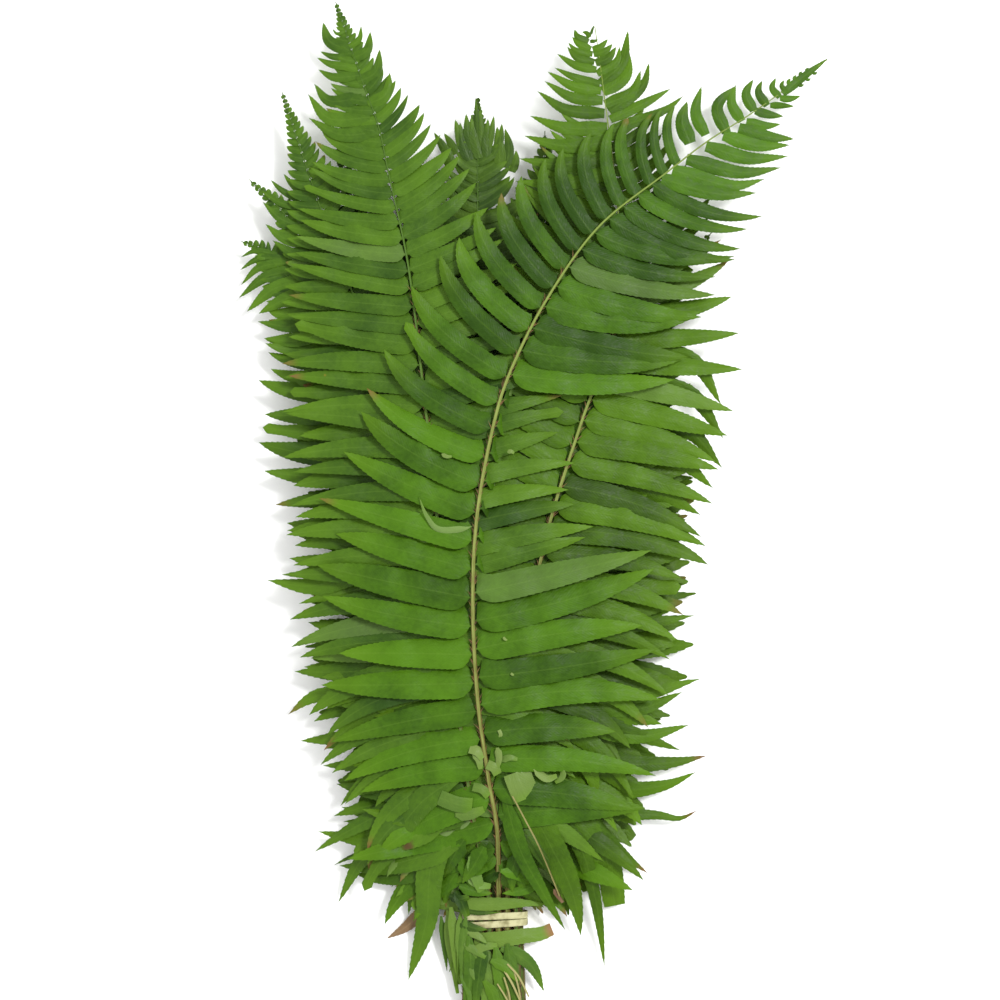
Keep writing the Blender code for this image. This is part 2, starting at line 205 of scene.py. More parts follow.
@dataclass(frozen=True)
class LeafFinish(Finish):
    """Living fern leaflet: a waxy cuticle over a soft green blade, so broad satin highlights.

    The blade's tone differs from leaflet to leaflet, the midvein is a fine paler line, the
    underside is duller and paler, and dry tips are brown.
    """

    name: str
    dark: str
    light: str
    vein: str = "#5c7a2a"
    under: str = "#6c8448"
    dry: str = "#6a4c2a"
    ripe: str = "#54760f"
    roughness: float = 0.46
    shine: float = 0.17
    blemishes: tuple[tuple[float, float, float, str], ...] = ()

    def material(self) -> bpy.types.Material:
        """Builds the node tree: tone and age from the mesh, veins from the leaf's own map.

        Returns:
            The finished material.
        """
        material, tree = self.start(self.name)
        dress = add_node(tree, "ShaderNodeAttribute", {"attribute_name": "dress"})
        parts = add_node(tree, "ShaderNodeSeparateColor", inputs={0: dress.outputs["Color"]})
        tone, under, dry = parts.outputs[:3]
        leaf = add_node(tree, "ShaderNodeUVMap", {"uv_map": "leaf"})
        along, across = add_node(tree, "ShaderNodeSeparateXYZ", inputs={0: leaf}).outputs[:2]
        solid = add_node(tree, "ShaderNodeTexCoord").outputs["Object"]
        # Blotches of 18 mm and flecks of 2.5 mm
        blotch = add_node(tree, NOISE, inputs={0: solid, "Scale": 55.0, "Detail": 3.0})
        fleck = add_node(tree, NOISE, inputs={0: solid, "Scale": 400.0, "Detail": 2.0})
        mixed = add_node(tree, MATH, {"operation": "MULTIPLY_ADD"}, {0: blotch, 1: 0.80, 2: tone})
        mixed = add_node(tree, MATH, {"operation": "MULTIPLY_ADD"}, {0: fleck, 1: 0.36, 2: mixed})
        share = add_node(tree, RANGE, SMOOTH, {0: mixed, 1: 0.50, 2: 1.60})
        colour = add_node(tree, MIX, RGBA, {0: share, 6: linear_colour(self.dark),
                                            7: linear_colour(self.light)})
        away = add_node(tree, MATH, {"operation": "ABSOLUTE"}, {0: across})
        # A midvein 0.7 mm wide; the leaf map's unit is 100 mm
        vein = add_node(tree, RANGE, SMOOTH, {0: away, 1: 0.001, 2: 0.006, 3: 0.15, 4: 0.0})
        colour = add_node(tree, MIX, RGBA, {0: vein, 6: colour, 7: linear_colour(self.vein)})
        # Side veins lean forward; real ones are 1 mm apart, drawn at 2.2 mm so that they show
        lean = add_node(tree, MATH, {"operation": "MULTIPLY_ADD"}, {0: away, 1: -1.3, 2: along})
        wave = add_node(tree, MATH, TIMES, {0: lean, 1: 2.0 * math.pi * MAP_MM / VEIN_SPACING})
        ripple = add_node(tree, MATH, {"operation": "SINE"}, {0: wave})
        share = add_node(tree, RANGE, SMOOTH, {0: ripple, 1: -1.0, 2: 1.0, 3: 0.0, 4: 0.04})
        colour = add_node(tree, MIX, RGBA, {0: share, 6: colour, 7: linear_colour(self.dark)})
        share = add_node(tree, MATH, TIMES, {0: under, 1: 0.85})
        colour = add_node(tree, MIX, RGBA, {0: share, 6: colour, 7: linear_colour(self.under)})
        # Blades turn yellower towards their tips
        share = add_node(tree, RANGE, SMOOTH, {0: dress.outputs["Alpha"], 1: 0.55, 2: 1.0, 3: 0.0,
                                               4: 0.45})
        colour = add_node(tree, MIX, RGBA, {0: share, 6: colour, 7: linear_colour(self.ripe)})
        colour = add_node(tree, MIX, RGBA, {0: dry, 6: colour, 7: linear_colour(self.dry)})
        for x, y, radius, tint in self.blemishes:
            flat = add_node(tree, "ShaderNodeVectorMath", {"operation": "MULTIPLY"},
                            {0: solid, 1: (1.0, 1.0, 0.0)})
            centre = ((x + SHIFT[0]) * MM, (y + SHIFT[1]) * MM, 0.0)
            far = add_node(tree, "ShaderNodeVectorMath", {"operation": "DISTANCE"},
                           {0: flat, 1: centre}).outputs["Value"]
            ragged = add_node(tree, MATH, {"operation": "MULTIPLY_ADD"},
                              {0: fleck, 1: 0.004, 2: far})
            mark = add_node(tree, RANGE, SMOOTH, {0: ragged, 1: 0.6 * radius * MM,
                                                  2: 1.5 * radius * MM, 3: 0.85, 4: 0.0})
            colour = add_node(tree, MIX, RGBA, {0: mark, 6: colour, 7: linear_colour(tint)})
        rough = add_node(tree, RANGE, SMOOTH, {0: fleck, 1: 0.3, 2: 0.7, 3: self.roughness - 0.06,
                                               4: self.roughness + 0.10})
        # The blade is puckered in patches of about 8 by 3 mm
        drawn = add_node(tree, "ShaderNodeMapping", inputs={0: leaf, "Scale": (12.0, 34.0, 1.0)})
        pucker = add_node(tree, NOISE, inputs={0: drawn, "Scale": 1.0, "Detail": 2.0})
        ridges = add_node(tree, MATH, TIMES, {0: ripple, 1: 0.045})
        height = add_node(tree, MATH, {"operation": "MULTIPLY_ADD"}, {0: pucker, 1: 1.6, 2: ridges})
        bump = add_node(tree, "ShaderNodeBump", inputs={"Strength": 0.6, "Distance": 0.0006,
                                                        "Height": height})
        self.close(tree, {"Base Color": colour, "Roughness": rough, "Normal": bump, "IOR": 1.45,
                          "Specular IOR Level": self.shine})
        return material


@dataclass(frozen=True)
class StalkFinish(Finish):
    """Fern stalk and midrib: a hard ribbed skin, olive to straw, with darker streaks along it."""

    name: str
    pale: str = "#808a48"
    deep: str = "#56561e"
    brown: str = "#50341a"
    young: str = "#6c7e36"
    roughness: float = 0.5
    shine: float = 0.16

    def material(self) -> bpy.types.Material:
        """Streaks follow the stalk's own map; brown and the young green end come from the mesh.

        Returns:
            The finished material.
        """
        material, tree = self.start(self.name)
        dress = add_node(tree, "ShaderNodeAttribute", {"attribute_name": "dress"})
        parts = add_node(tree, "ShaderNodeSeparateColor", inputs={0: dress.outputs["Color"]})
        leaf = add_node(tree, "ShaderNodeUVMap", {"uv_map": "leaf"})
        # Streaks 11 mm long, eleven of them round the stalk
        drawn = add_node(tree, "ShaderNodeMapping", inputs={0: leaf, "Scale": (3.0, 60.0, 1.0)})
        streak = add_node(tree, NOISE, inputs={0: drawn, "Scale": 3.0, "Detail": 4.0})
        mixed = add_node(tree, MATH, {"operation": "MULTIPLY_ADD"},
                         {0: parts.outputs[0], 1: 0.4, 2: streak})
        share = add_node(tree, RANGE, SMOOTH, {0: mixed, 1: 0.35, 2: 0.95})
        colour = add_node(tree, MIX, RGBA, {0: share, 6: linear_colour(self.deep),
                                            7: linear_colour(self.pale)})
        share = add_node(tree, RANGE, SMOOTH, {0: dress.outputs["Alpha"], 1: 0.42, 2: 0.80})
        colour = add_node(tree, MIX, RGBA, {0: share, 6: colour, 7: linear_colour(self.young)})
        colour = add_node(tree, MIX, RGBA, {0: parts.outputs[2], 6: colour,
                                            7: linear_colour(self.brown)})
        bump = add_node(tree, "ShaderNodeBump", inputs={"Strength": 0.4, "Distance": 0.0003,
                                                        "Height": streak})
        self.close(tree, {"Base Color": colour, "Normal": bump, "Roughness": self.roughness,
                          "Specular IOR Level": self.shine})
        return material


@dataclass(frozen=True)
class ScaleFinish(Finish):
    """Papery brown scales on the stalks: thin and dry, so matt."""

    name: str
    dark: str = "#46301a"
    light: str = "#7a5c34"
    roughness: float = 0.75

    def material(self) -> bpy.types.Material:
        """A tone for each scale, read from the mesh.

        Returns:
            The finished material.
        """
        material, tree = self.start(self.name)
        dress = add_node(tree, "ShaderNodeAttribute", {"attribute_name": "dress"})
        parts = add_node(tree, "ShaderNodeSeparateColor", inputs={0: dress.outputs["Color"]})
        colour = add_node(tree, MIX, RGBA, {0: parts, 6: linear_colour(self.dark),
                                            7: linear_colour(self.light)})
        self.close(tree, {"Base Color": colour, "Roughness": self.roughness})
        return material


@dataclass(frozen=True)
class BandFinish(Finish):
    """Cream elastic band: calendered rubber dusted with talc, so nearly matt with fine ribs."""

    name: str
    pale: str = "#aeab80"
    soiled: str = "#746f44"
    roughness: float = 0.62

    def material(self) -> bpy.types.Material:
        """Soiling in blotches and ribs along the band.

        Returns:
            The finished material.
        """
        material, tree = self.start(self.name)
        solid = add_node(tree, "ShaderNodeTexCoord").outputs["Object"]
        # Soiled blotches of 6 mm
        soil = add_node(tree, NOISE, inputs={0: solid, "Scale": 160.0, "Detail": 4.0})
        # Ribs about half a millimetre wide run along the band
        drawn = add_node(tree, "ShaderNodeMapping",
                         inputs={0: solid, "Scale": (40.0, 2200.0, 40.0)})
        ribs = add_node(tree, NOISE, inputs={0: drawn, "Scale": 1.0, "Detail": 1.0})
        share = add_node(tree, RANGE, SMOOTH, {0: soil, 1: 0.38, 2: 0.72})
        colour = add_node(tree, MIX, RGBA, {0: share, 6: linear_colour(self.pale),
                                            7: linear_colour(self.soiled)})
        bump = add_node(tree, "ShaderNodeBump", inputs={"Strength": 0.3, "Distance": 0.0002,
                                                        "Height": ribs})
        self.close(tree, {"Base Color": colour, "Normal": bump, "Roughness": self.roughness})
        return material


@dataclass(frozen=True)
class FloorFinish(Finish):
    """Matt white paper floor."""

    name: str
    colour: str = "#fbfbfa"

    def material(self) -> bpy.types.Material:
        """One even matt white with a faint tooth.

        Returns:
            The finished material.
        """
        material, tree = self.start(self.name)
        solid = add_node(tree, "ShaderNodeTexCoord").outputs["Object"]
        # Real paper's tooth is finer, drawn at 1.1 mm so that it shows
        tooth = add_node(tree, NOISE, inputs={0: solid, "Scale": 900.0})
        bump = add_node(tree, "ShaderNodeBump", inputs={"Strength": 0.05, "Distance": 0.0002,
                                                        "Height": tooth})
        self.close(tree, {"Base Color": linear_colour(self.colour), "Normal": bump,
                          "Roughness": 0.9, "Specular IOR Level": 0.1})
        return material


@dataclass
class MeshData:
    """Vertices in millimetres with their faces, leaf map, dress and material number.

    The dress is tone, underside, dryness and share along the blade.
    """

    points: np.ndarray
    quads: np.ndarray
    tris: np.ndarray
    leaf_map: np.ndarray
    dress: np.ndarray
    material: int = 0

    def to_object(self, name: str, others: list[MeshData],
                  materials: list[bpy.types.Material]) -> bpy.types.Object:
        """Joins this data with others into one object at the origin, in metres.

        Args:
            name: The object's name.
            others: More data that belongs to the same object.
            materials: The materials, in the order of the material numbers.

        Returns:
            The finished object.
        """
        parts = [self, *others]
        starts = np.cumsum([0] + [len(part.points) for part in parts[:-1]])
        points = np.vstack([part.points for part in parts]) + (*SHIFT, 0.0)
        faces, numbers = [], []
        for part, start in zip(parts, starts):
            for block in (part.quads, part.tris):
                faces += (block + start).tolist()
                numbers += [part.material] * len(block)
        mesh = bpy.data.meshes.new(name)
        mesh.from_pydata((points * MM).tolist(), [], faces)
        for material in materials:
            mesh.materials.append(material)
        mesh.polygons.foreach_set("material_index", np.array(numbers, dtype=np.int32))
        corners = np.empty(len(mesh.loops), dtype=np.int32)
        mesh.loops.foreach_get("vertex_index", corners)
        leaf_map = np.vstack([part.leaf_map for part in parts])
        mesh.uv_layers.new(name="leaf").data.foreach_set("uv", leaf_map[corners].ravel())
        dress = mesh.attributes.new("dress", "FLOAT_COLOR", "POINT")
        dress.data.foreach_set("color", np.vstack([part.dress for part in parts]).ravel())
        mesh.shade_smooth()
        mesh.set_sharp_from_angle(angle=math.radians(55.0))
        made = bpy.data.objects.new(name, mesh)
        bpy.context.collection.objects.link(made)
        return made


def dress_rows(count: int, tone: np.ndarray | float = 0.5, under: np.ndarray | float = 0.0,
               dry: np.ndarray | float = 0.0) -> np.ndarray:
    """Packs tone, underside and dryness into the dress colour of every vertex.

    Args:
        count: The number of vertices.
        tone: From dark, 0, to light, 1.
        under: How much a vertex looks like the underside.
        dry: How much it is dried out.

    Returns:
        Four numbers for each vertex, the last one 1.
    """
    rows = np.ones((count, 4))
    rows[:, 0], rows[:, 1], rows[:, 2] = tone, under, dry
    return rows


@dataclass(frozen=True)
class Weave:
    """How finely a frond is drawn.

    columns and across are a leaflet's steps along and places across, teeth how far its teeth stand
    out in millimetres, rings and sides the midrib's.
    """

    columns: int
    across: tuple[float, ...]
    teeth: float
    rings: int
    sides: int


class Detail(Enum):
    """Fronds that show get fine leaflets; of the others only the tips can be seen."""

    SHOWN = Weave(48, (-1.0, -0.5, 0.0, 0.5, 1.0), 0.32, 170, 14)
    COVERED = Weave(30, (-1.0, 0.0, 1.0), 0.35, 60, 8)


class Outline(Enum):
    """What a free blade's outline is like: its half width at the root and at the tip."""

    LANCE = (0.35, 0.0)
    SESSILE = (0.72, 0.0)
    SPINDLE = (0.05, 0.0)
    CUT = (0.9, 0.75)
    PATCH = (1.0, 1.0)
    BROKEN = (0.4, 0.5)


@dataclass
class Blades:
    """Leaf blades on a grid of share along and place across, ready to be drawn.

    Arrays have a row for each blade and a column for each step along it. side is +1 where the
    blade's upper margin lies to the left of its own direction, -1 where it lies to the right.
    Each blade differs from the next in length, curve, width and tilt, so they are drawn together
    and none is a copy.
    """

    share: np.ndarray
    axis: np.ndarray
    heading: np.ndarray
    level: np.ndarray
    upper: np.ndarray
    lower: np.ndarray
    turn: np.ndarray
    side: np.ndarray
    length: np.ndarray
    tone: np.ndarray
    under: np.ndarray
    dry: np.ndarray
    camber: np.ndarray
    phase: np.ndarray

    def loft(self, weave: Weave) -> MeshData:
        """Draws every blade as a closed lens: a fine upper face and two strips below it.

        Height is the level of the axis, less the sine of the turn times the width, less a camber
        that grows with the square of the place across, less a groove over the axis. The margins
        are ruffled by a sine along the blade.

        Args:
            weave: How finely to draw.

        Returns:
            The joined mesh of all blades.
        """
        places = np.array(weave.across)
        columns = self.share.shape[1] - 1
        step = self.length[:, None] / columns
        way = np.stack([np.cos(self.heading), np.sin(self.heading)], axis=-1)
        over = self.side[:, None, None] * np.stack([-way[..., 1], way[..., 0]], axis=-1)
        # Teeth point to the tip: every second margin point stands out and leans forward
        toothed = (self.share > TEETH_FROM) * (self.share < TEETH_TO)
        odd = (np.arange(columns + 1) % 2)[None, :] * toothed
        wide_half = np.maximum(self.upper, self.lower)
        tooth = weave.teeth * odd * np.clip(wide_half / TOOTH_FULL_HALF, 0.2, 1.0)
        lean = TOOTH_LEAN * odd * step
        reach = np.where(places[None, None, :] > 0.0, self.upper[..., None], self.lower[..., None])
        margin = (np.abs(places) == 1.0)[None, None, :]
        width = places[None, None, :] * (reach + margin * tooth[..., None])
        turn = self.turn[..., None]
        plan = (self.axis[:, :, None, :] + over[:, :, None, :] * (width * np.cos(turn))[..., None]
                + way[:, :, None, :] * (margin * lean[..., None])[..., None])
        run = self.share * self.length[:, None]
        ruffle = RUFFLE * wide_half * np.sin(run / RUFFLE_STEP + self.phase[:, None])
        square = places[None, None, :] ** 2
        camber = self.camber[:, None, None] * wide_half[..., None] * square
        groove = GROOVE_DEPTH * np.exp(-((places / GROOVE_REACH) ** 2))[None, None, :]
        z = (self.level[..., None] - np.sin(turn) * width - camber - groove
             + ruffle[..., None] * square + BLADE_RISE * (1.0 - square))
        count, rows, wide = len(self.length), columns + 1, len(places)
        top = np.concatenate([plan, np.maximum(z, LEAST_TOP)[..., None]], axis=-1)
        top = top.reshape(count, -1, 3)
        keel = np.maximum(self.level - KEEL_DEPTH, LEAST_KEEL)
        low = np.concatenate([self.axis, keel[..., None]], axis=-1)
        points = np.concatenate([top, low], axis=1)
        quads, tris = self.template(rows, wide)
        shares = np.concatenate([np.repeat(self.share, wide, axis=1), self.share], axis=1)
        # Each blade reads its own part of the leaf map, so that no two are puckered alike
        map_x = shares * self.length[:, None] / MAP_MM + 3.0 * self.phase[:, None]
        map_y = np.concatenate([width.reshape(count, -1), np.zeros((count, rows))], axis=1) / MAP_MM
        below = np.concatenate([np.zeros(rows * wide), np.ones(rows)])[None, :]
        under = np.abs(below - self.under[:, None])
        dry = self.dry[:, None] * smooth((shares - DRY_FROM) / DRY_OVER)
        each = points.shape[1]
        dress = dress_rows(count * each, np.repeat(self.tone, each), under.ravel(), dry.ravel())
        dress[:, 3] = shares.ravel()
        offset = (np.arange(count) * each)[:, None, None]
        faces = []
        for block in (quads, tris):
            placed = block[None] + offset
            placed[self.side < 0] = placed[self.side < 0][..., ::-1]
            faces.append(placed.reshape(-1, block.shape[1]))
        leaf_map = np.stack([map_x.ravel(), map_y.ravel()], axis=1)
        return MeshData(points.reshape(-1, 3), faces[0], faces[1], leaf_map, dress)

    @staticmethod
    def template(rows: int, wide: int) -> tuple[np.ndarray, np.ndarray]:
        """Face numbers of one blade: upper grid, two lower strips and a cap at each end.

        Args:
            rows: Points along the blade.
            wide: Points across it.

        Returns:
            The four-sided faces and the three-sided ones.
        """
        grid = np.arange(rows * wide).reshape(rows, wide)
        keel = rows * wide + np.arange(rows)
        upper = np.stack([grid[:-1, :-1], grid[1:, :-1], grid[1:, 1:], grid[:-1, 1:]], axis=-1)
        first = np.stack([grid[:-1, 0], keel[:-1], keel[1:], grid[1:, 0]], axis=-1)
        second = np.stack([keel[:-1], grid[:-1, -1], grid[1:, -1], keel[1:]], axis=-1)
        quads = np.concatenate([upper.reshape(-1, 4), first, second])
        root = np.stack([grid[0, :-1], grid[0, 1:], np.full(wide - 1, keel[0])], axis=-1)
        tip = np.stack([grid[-1, 1:], grid[-1, :-1], np.full(wide - 1, keel[-1])], axis=-1)
        return quads, np.concatenate([root, tip])


@dataclass
class Pinnae:
    """A frond's leaflets, one row of numbers each; lengths in millimetres, angles in degrees.

    base is where the leaflet's axis starts, heading the midrib's direction there, side +1 to the
    right of it and -1 to the left. The axis leaves at the root angle and ends at the tip angle,
    and turns later the larger the bend.
    """

    base: np.ndarray
    height: np.ndarray
    heading: np.ndarray
    side: np.ndarray
    root: np.ndarray
    tip: np.ndarray
    length: np.ndarray
    half: np.ndarray
    tilt: np.ndarray
    twist: np.ndarray
    arch: np.ndarray
    droop: np.ndarray
    tone: np.ndarray
    dry: np.ndarray
    blunt: np.ndarray
    phase: np.ndarray
    bend: np.ndarray
    tuck: np.ndarray
    under: np.ndarray

    @staticmethod
    def joined(groups: list[Pinnae]) -> Pinnae:
        """Puts several sets into one."""
        return Pinnae(*(np.concatenate([getattr(group, name) for group in groups])
                        for name in Pinnae.__dataclass_fields__))

    def half_widths(self, share: np.ndarray) -> tuple[np.ndarray, np.ndarray]:
        """Half width above and below the axis.

        A ribbon that ends in a point, 1 - s^p with p near 3, on a narrow stalk, with the small ear
        that this fern's leaflets have at the upper side of the root, and the lower side cut away
        there. Leaflets that bend late also keep their width for longer, and the short ones near
        the frond's tip have no stalk. A blunt leaflet keeps its width to a broken end.

        Args:
            share: The share along each leaflet at every step.

        Returns:
            The half widths above and below.
        """
        grown = np.clip(self.length[:, None] / FULL_LENGTH, 0.0, 1.0)
        stalk = LEAF_STALK * grown**1.4 / self.length[:, None]
        opened = smooth((share - stalk) / OPENS_OVER)
        ribbon = np.maximum(1.0 - share ** (0.7 + 1.8 * self.bend[:, None]), 0.0) ** 0.95
        broken = 0.45 * (1.0 - smooth((share - 0.96) / 0.04)) * self.blunt[:, None]
        ribbon = np.maximum(ribbon, broken)
        ear = EAR * grown * np.exp(-(((share - stalk - EAR_REACH) / EAR_REACH) ** 2))
        cut = CUT_BACK * grown**2 * np.exp(-(((share - stalk) / CUT_REACH) ** 2))
        half = self.half[:, None]
        stem = 0.45 + 0.85 * half * (1.0 - smooth(grown))
        upper = stem + (half * (ribbon + ear) - stem) * opened
        lower = stem + (half * (ribbon - cut) - stem) * opened
        return np.maximum(upper, LEAST_HALF), np.maximum(lower, LEAST_HALF)

    def blades(self, columns: int, height_at: Callable) -> Blades:
        """Runs each axis forward in small steps, its heading turning from the root to the tip.

        The level eases from the midrib's height to the sheet's over 14 mm; arch lifts the middle,
        droop the tip, and tuck puts the leaflet under the frond next to it.

        Args:
            columns: Steps along each leaflet.
            height_at: Gives the sheet's height at plan points.

        Returns:
            The blades, ready to be drawn.
        """
        share = np.linspace(0.0, 1.0, columns + 1)[None, :] * np.ones((len(self.length), 1))
        angle = self.root[:, None] + (self.tip - self.root)[:, None] * share ** self.bend[:, None]
        heading = self.heading[:, None] - self.side[:, None] * np.radians(angle)
        way = np.stack([np.cos(heading), np.sin(heading)], axis=-1)
        steps = 0.5 * (way[:, 1:] + way[:, :-1]) * (self.length[:, None, None] / columns)
        start = np.zeros((len(steps), 1, 2))
        axis = self.base[:, None, :] + np.concatenate([start, np.cumsum(steps, axis=1)], axis=1)
        run = share * self.length[:, None]
        level = height_at(axis[..., 0], axis[..., 1])
        level = self.height[:, None] + (level - self.height[:, None]) * smooth(run / RISES_OVER)
        level = (level + self.arch[:, None] * 4.0 * share * (1.0 - share)
                 + self.droop[:, None] * share**2)
        swell = SWELL * np.sin(run / SWELL_STEP + self.phase[:, None]) * smooth(run / SWELL_OVER)
        level = level + swell - self.tuck[:, None] * smooth((run - TUCK_FROM) / TUCK_OVER)
        upper, lower = self.half_widths(share)
        turn = np.radians(self.tilt[:, None] + self.twist[:, None] * share**1.5)
        return Blades(share=share, axis=axis, heading=heading,
                      level=np.maximum(level, LEAST_LEVEL), upper=upper, lower=lower, turn=turn,
                      side=self.side, length=self.length, tone=self.tone, under=self.under,
                      dry=self.dry, camber=np.full(len(self.length), LEAF_CAMBER),
                      phase=self.phase)


@dataclass(frozen=True)
class FreeBlade:
    """One blade along given points in millimetres, x, y and height, root first."""

    line: tuple[tuple[float, float, float], ...]
    half: float
    outline: Outline = Outline.LANCE
    side: float = 1.0
    tilt: float = 8.0
    tone: float = 0.5
    under: float = 0.0
    dry: float = 0.0

    def sampled(self, columns: int) -> np.ndarray:
        """Points at even distances along a smooth curve through the line.

        Args:
            columns: Steps along the blade.

        Returns:
            Rows of x, y and height.
        """
        points = catmull_rom(np.array(self.line))
        run = np.concatenate([[0.0], np.cumsum(np.hypot(*np.diff(points[:, :2], axis=0).T))])
        places = np.linspace(0.0, run[-1], columns + 1)
        return np.stack([np.interp(places, run, points[:, part]) for part in range(3)], axis=-1)


def free_blades(blades: list[FreeBlade], columns: int, sheet: Callable | None = None) -> Blades:
    """Turns blades given by their points into rows that can be drawn.

    The half width runs from the outline's root value up to full at a fifth of the length, and from
    there to its tip value as 1 - s^2.6.

    Args:
        blades: The blades.
        columns: Steps along each.
        sheet: Gives the height that the blades' own heights count from; zero if there is none.

    Returns:
        The blades, ready to be drawn.
    """
    points = np.stack([blade.sampled(columns) for blade in blades])
    if sheet:
        points[..., 2] += sheet(points[..., 0], points[..., 1])
    steps = np.gradient(points[..., :2], axis=1)
    share = np.linspace(0.0, 1.0, columns + 1)[None, :] * np.ones((len(blades), 1))
    root, tip = (np.array([blade.outline.value[end] for blade in blades])[:, None]
                 for end in (0, 1))
    body = tip + (1.0 - tip) * (1.0 - share**2.6)
    width = (root + (1.0 - root) * smooth(share / 0.22)) * body
    half = np.maximum(width * np.array([blade.half for blade in blades])[:, None], LEAST_HALF)
    lengths = np.hypot(*np.moveaxis(np.diff(points[..., :2], axis=1), -1, 0)).sum(axis=1)
    values = {name: np.array([getattr(blade, name) for blade in blades], dtype=float)
              for name in ("side", "tilt", "tone", "under", "dry")}
    turn = np.radians(values["tilt"])[:, None] * np.ones_like(share)
    return Blades(share=share, axis=points[..., :2],
                  heading=np.arctan2(steps[..., 1], steps[..., 0]), level=points[..., 2],
                  upper=half, lower=half, turn=turn, side=values["side"], length=lengths,
                  tone=values["tone"], under=values["under"], dry=values["dry"],
                  camber=np.full(len(blades), FREE_CAMBER), phase=2.1 * np.arange(len(blades)))


def laid_leaves(rows: tuple[tuple[float, ...], ...]) -> list[FreeBlade]:
    """Turns rows of root, middle and tip in plan and half width into blades on a frond's sheet.

    A leaf that bends to the right of its way from root to tip keeps its upper margin there. Tones
    follow the golden ratio, so neighbours differ.

    Args:
        rows: Three plan points and the half width of each leaf.

    Returns:
        The blades, their heights counted from the sheet.
    """
    leaves = []
    for number, (x0, y0, x1, y1, x2, y2, half) in enumerate(rows):
        bend = (x2 - x0) * (y1 - y0) - (y2 - y0) * (x1 - x0)
        line = tuple(zip((x0, x1, x2), (y0, y1, y2), LAID_HEIGHTS))
        leaves.append(FreeBlade(line, LAID_WIDER * half, Outline.SESSILE,
                                side=math.copysign(1.0, -bend), tilt=6.0,
                                tone=0.35 + 0.4 * (GOLDEN * number % 1.0)))
    return leaves


def catmull_rom(points: np.ndarray, steps: int = 24) -> np.ndarray:
    """A smooth curve through the points, as many short steps.

    Each step is the cubic whose slope at a point is half the way from the point before it to the
    one after it.

    Args:
        points: The points that the curve passes through.
        steps: Steps between two of them.

    Returns:
        The points of the curve.
    """
    padded = np.vstack([2 * points[0] - points[1], points, 2 * points[-1] - points[-2]])
    share = np.linspace(0.0, 1.0, steps, endpoint=False)[:, None]
    pieces = [
        0.5 * (2 * first + (second - before) * share
               + (2 * before - 5 * first + 4 * second - after) * share**2
               + (3 * first - before - 3 * second + after) * share**3)
        for before, first, second, after in zip(padded, padded[1:], padded[2:], padded[3:])
    ]
    return np.vstack(pieces + [points[-1:]])


